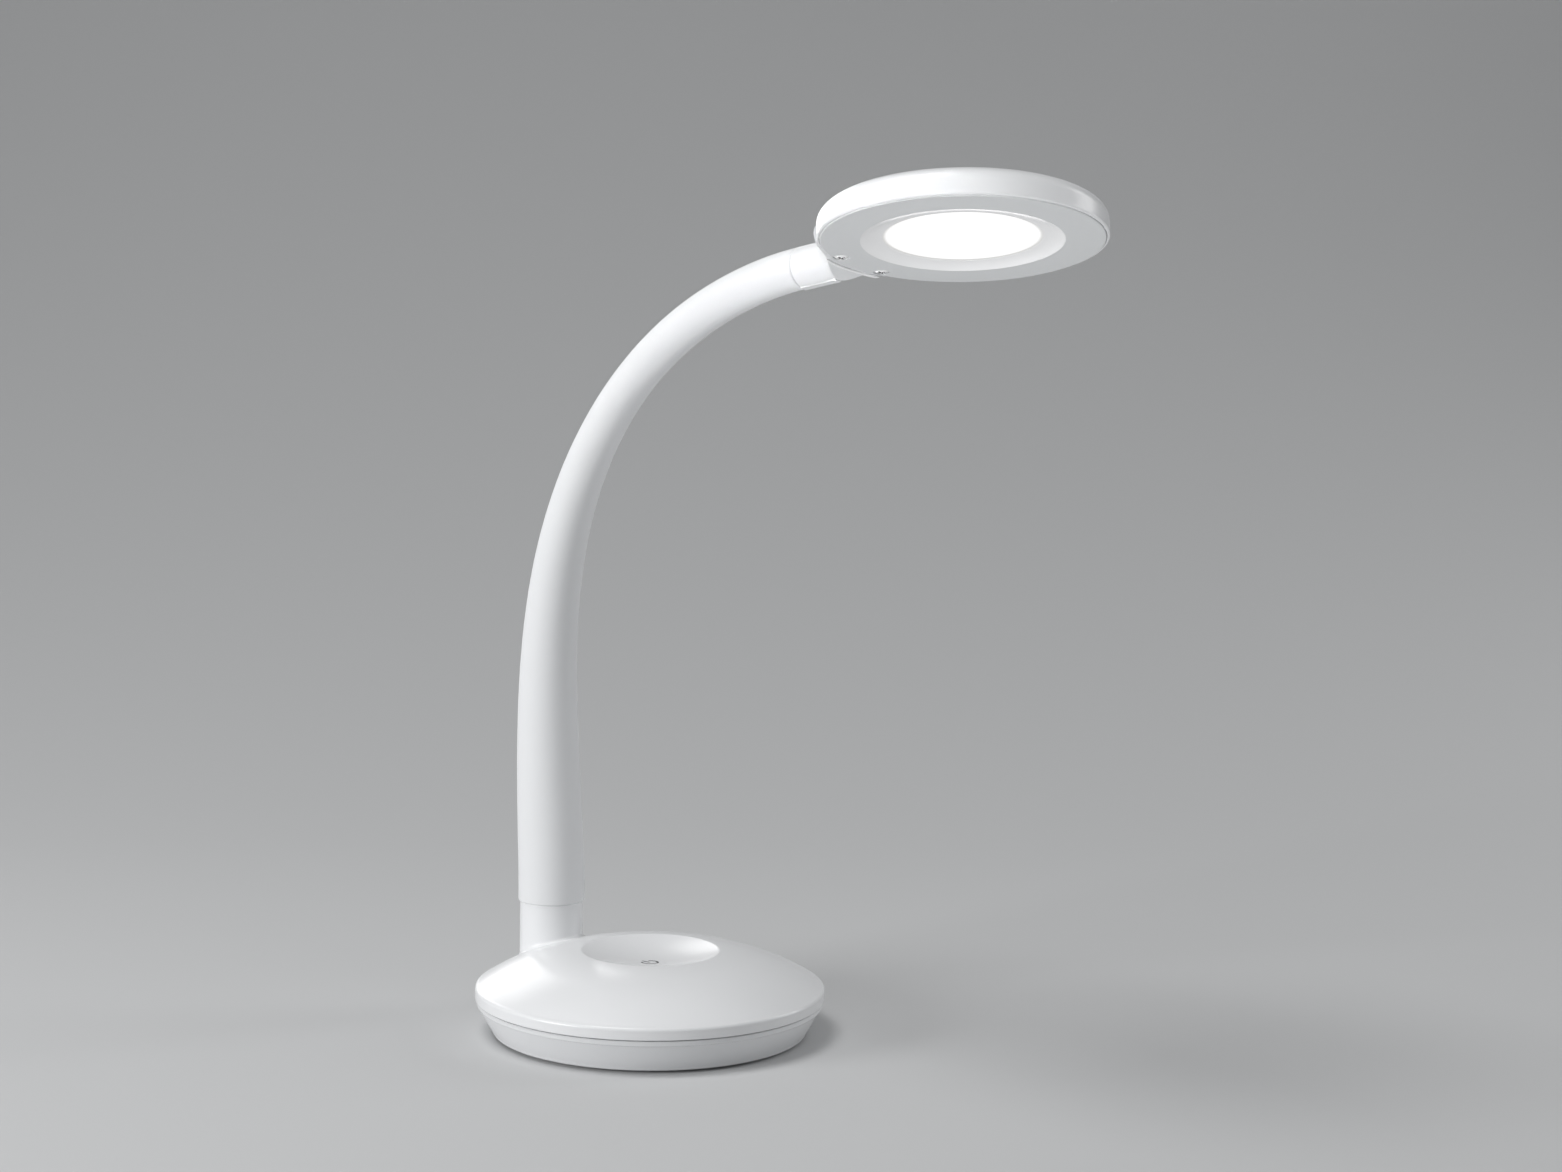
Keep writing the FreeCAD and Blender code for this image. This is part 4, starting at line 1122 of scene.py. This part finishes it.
@dataclass
class Studio:
    """Pale floor that sweeps up into a backdrop, two soft boxes and an even world."""

    tone: tuple[float, float, float] = (0.62, 0.625, 0.63)
    facing: float = 41.348
    ahead: float = 0.35
    sweep: float = 2.2
    top: float = 4.0
    width: float = 9.0
    world_level: float = 0.29
    seen_level: float = 0.6

    def floor(self) -> None:
        """Floor and backdrop in one sheet: level up to ahead behind the lamp, then a quarter round
        of radius sweep, then upright."""
        a = np.radians(np.linspace(0, 90, 40))
        run = np.concatenate([[-4.0], self.ahead + self.sweep * np.sin(a), [self.ahead + self.sweep]])
        rise = np.concatenate([[0.0], self.sweep * (1 - np.cos(a)), [self.top]])
        az = math.radians(self.facing)
        away, across = np.array([-math.sin(az), math.cos(az)]), np.array([math.cos(az), math.sin(az)])
        rows = []
        for side in (-self.width, self.width):
            flat = run[:, None] * away + side * across
            rows.append(np.concatenate([flat, rise[:, None]], axis=-1))
        sheet = Surface().grid(np.array(rows) / MM, loop=False).build("floor_sweep")
        sheet.data.materials.append(Finish("floor_pale", self.tone, 0.6, tint=0.0, patches=0.0,
                                           grain_height=0.0, specular=0.0).material())

    def light(self, name: str, turn: float, distance: float, height: float, size: tuple, power: float,
              lights_matt: bool = True, at: tuple = (0.0, 0.0, 0.15), spread: float = 180.0) -> None:
        """Soft box that faces the lamp.

        Args:
            name: Its name.
            turn: Degrees to the left of the camera, about the lamp.
            distance: How far off it is, in metres.
            height: Its height.
            size: Its width and height.
            power: Its power in watts.
            lights_matt: Whether it lights matt surfaces too, or is only mirrored in glossy ones.
            at: Point that it faces.
            spread: Angle of its beam in degrees.
        """
        data = bpy.data.lights.new(name, "AREA")
        data.spread = math.radians(spread)
        data.shape, data.size, data.size_y, data.energy = "RECTANGLE", *size, power
        lamp = bpy.data.objects.new(name, data)
        angle = math.radians(self.facing - 90 - turn)
        lamp.location = (distance * math.cos(angle), distance * math.sin(angle), height)
        lamp.rotation_mode = "QUATERNION"
        lamp.rotation_quaternion = (Vector(at) - lamp.location).to_track_quat("-Z", "Y")
        lamp.visible_camera = False
        lamp.visible_diffuse = lights_matt
        bpy.context.scene.collection.objects.link(lamp)

    def world(self) -> None:
        """Even pale world: plain level for the light on the lamp, and the backdrop's level where a
        camera, glossy or transmission ray sees it."""
        world = bpy.data.worlds.new("studio")
        world.use_nodes = True
        tree = Tree(world.node_tree)
        background = world.node_tree.nodes["Background"]
        path = tree.add("ShaderNodeLightPath").outputs
        seen = tree.add("ShaderNodeMath", operation="ADD")
        both = tree.add("ShaderNodeMath", operation="ADD", use_clamp=True)
        tree.tree.links.new(path["Is Camera Ray"], seen.inputs[0])
        tree.tree.links.new(path["Is Glossy Ray"], seen.inputs[1])
        tree.tree.links.new(seen.outputs[0], both.inputs[0])
        tree.tree.links.new(path["Is Transmission Ray"], both.inputs[1])
        strength = tree.add("ShaderNodeMapRange")
        tree.feed(strength, Value=both.outputs[0], To_Min=self.world_level, To_Max=self.seen_level)
        tree.feed(background, Color=(0.98, 0.99, 1.0, 1), Strength=strength.outputs["Result"])
        bpy.context.scene.world = world

    def make(self) -> None:
        """Set up floor, world and lights."""
        self.floor()
        self.world()
        self.light("key", 62.0, 1.3, 0.34, (0.55, 0.42), 9.0)
        self.light("back", 160.0, 1.2, 0.52, (0.62, 0.72), 3.4, lights_matt=False)
        self.light("rim", -105.0, 1.4, 0.55, (0.5, 0.9), 4.2)
        self.light("low", 8.0, 0.8, 0.03, (0.26, 0.05), 0.075, at=(0.15, 0.0, 0.29), spread=26.0)
        self.light("top", 50.0, 0.5, 1.5, (0.6, 0.6), 8.5)
        bpy.context.scene.view_settings.view_transform = "Standard"


def dress_frame() -> None:
    """Give every CAD node its finish."""
    for name, node in frame["nodes"].items():
        finish = next((f for key, f in NODE_FINISHES.items() if name.startswith(key)), GLOSS_WHITE)
        node.data.materials.clear()
        node.data.materials.append(finish.material())


def head_place(twist: dict, collar_end: float, collar_z: float, roll: float) -> Matrix:
    """Where the head's frame lies on the lamp, from its twist joint.

    Args:
        twist: The joint between neck and head.
        collar_end: x of the joint in the head's frame, in millimetres.
        collar_z: Its height there.
        roll: Degrees that the head is turned about the joint at rest.

    Returns:
        From the head's frame to the lamp's, in metres.
    """
    tilt = math.atan2(twist["axis"][2], twist["axis"][0])
    turn = Matrix.Rotation(-tilt, 4, "Y") @ Matrix.Rotation(math.radians(roll), 4, "X")
    hub = turn @ Vector((collar_end * MM, 0, collar_z * MM))
    return Matrix.Translation(Vector(twist["pos_m"]) - hub) @ turn


def main() -> None:
    """Build the lamp's pieces in order, then camera and studio."""
    logging.basicConfig(level=logging.INFO, format="%(name)s: %(message)s")
    dress_frame()
    base = Base()
    base.make()
    hinges = [np.array([j["pos_m"][0], j["pos_m"][2]]) / MM for j in frame["joints"]]
    centreline = Centreline(np.array([base.socket_x, base.socket_top]), hinges)
    Neck(centreline).make(frame["joints"][:-1])
    Head(head_place(frame["joints"][-1], -69.5, 3.9, -13.0)).make()
    Viewpoint().make()
    Studio().make()


if __name__ == "__main__":
    main()
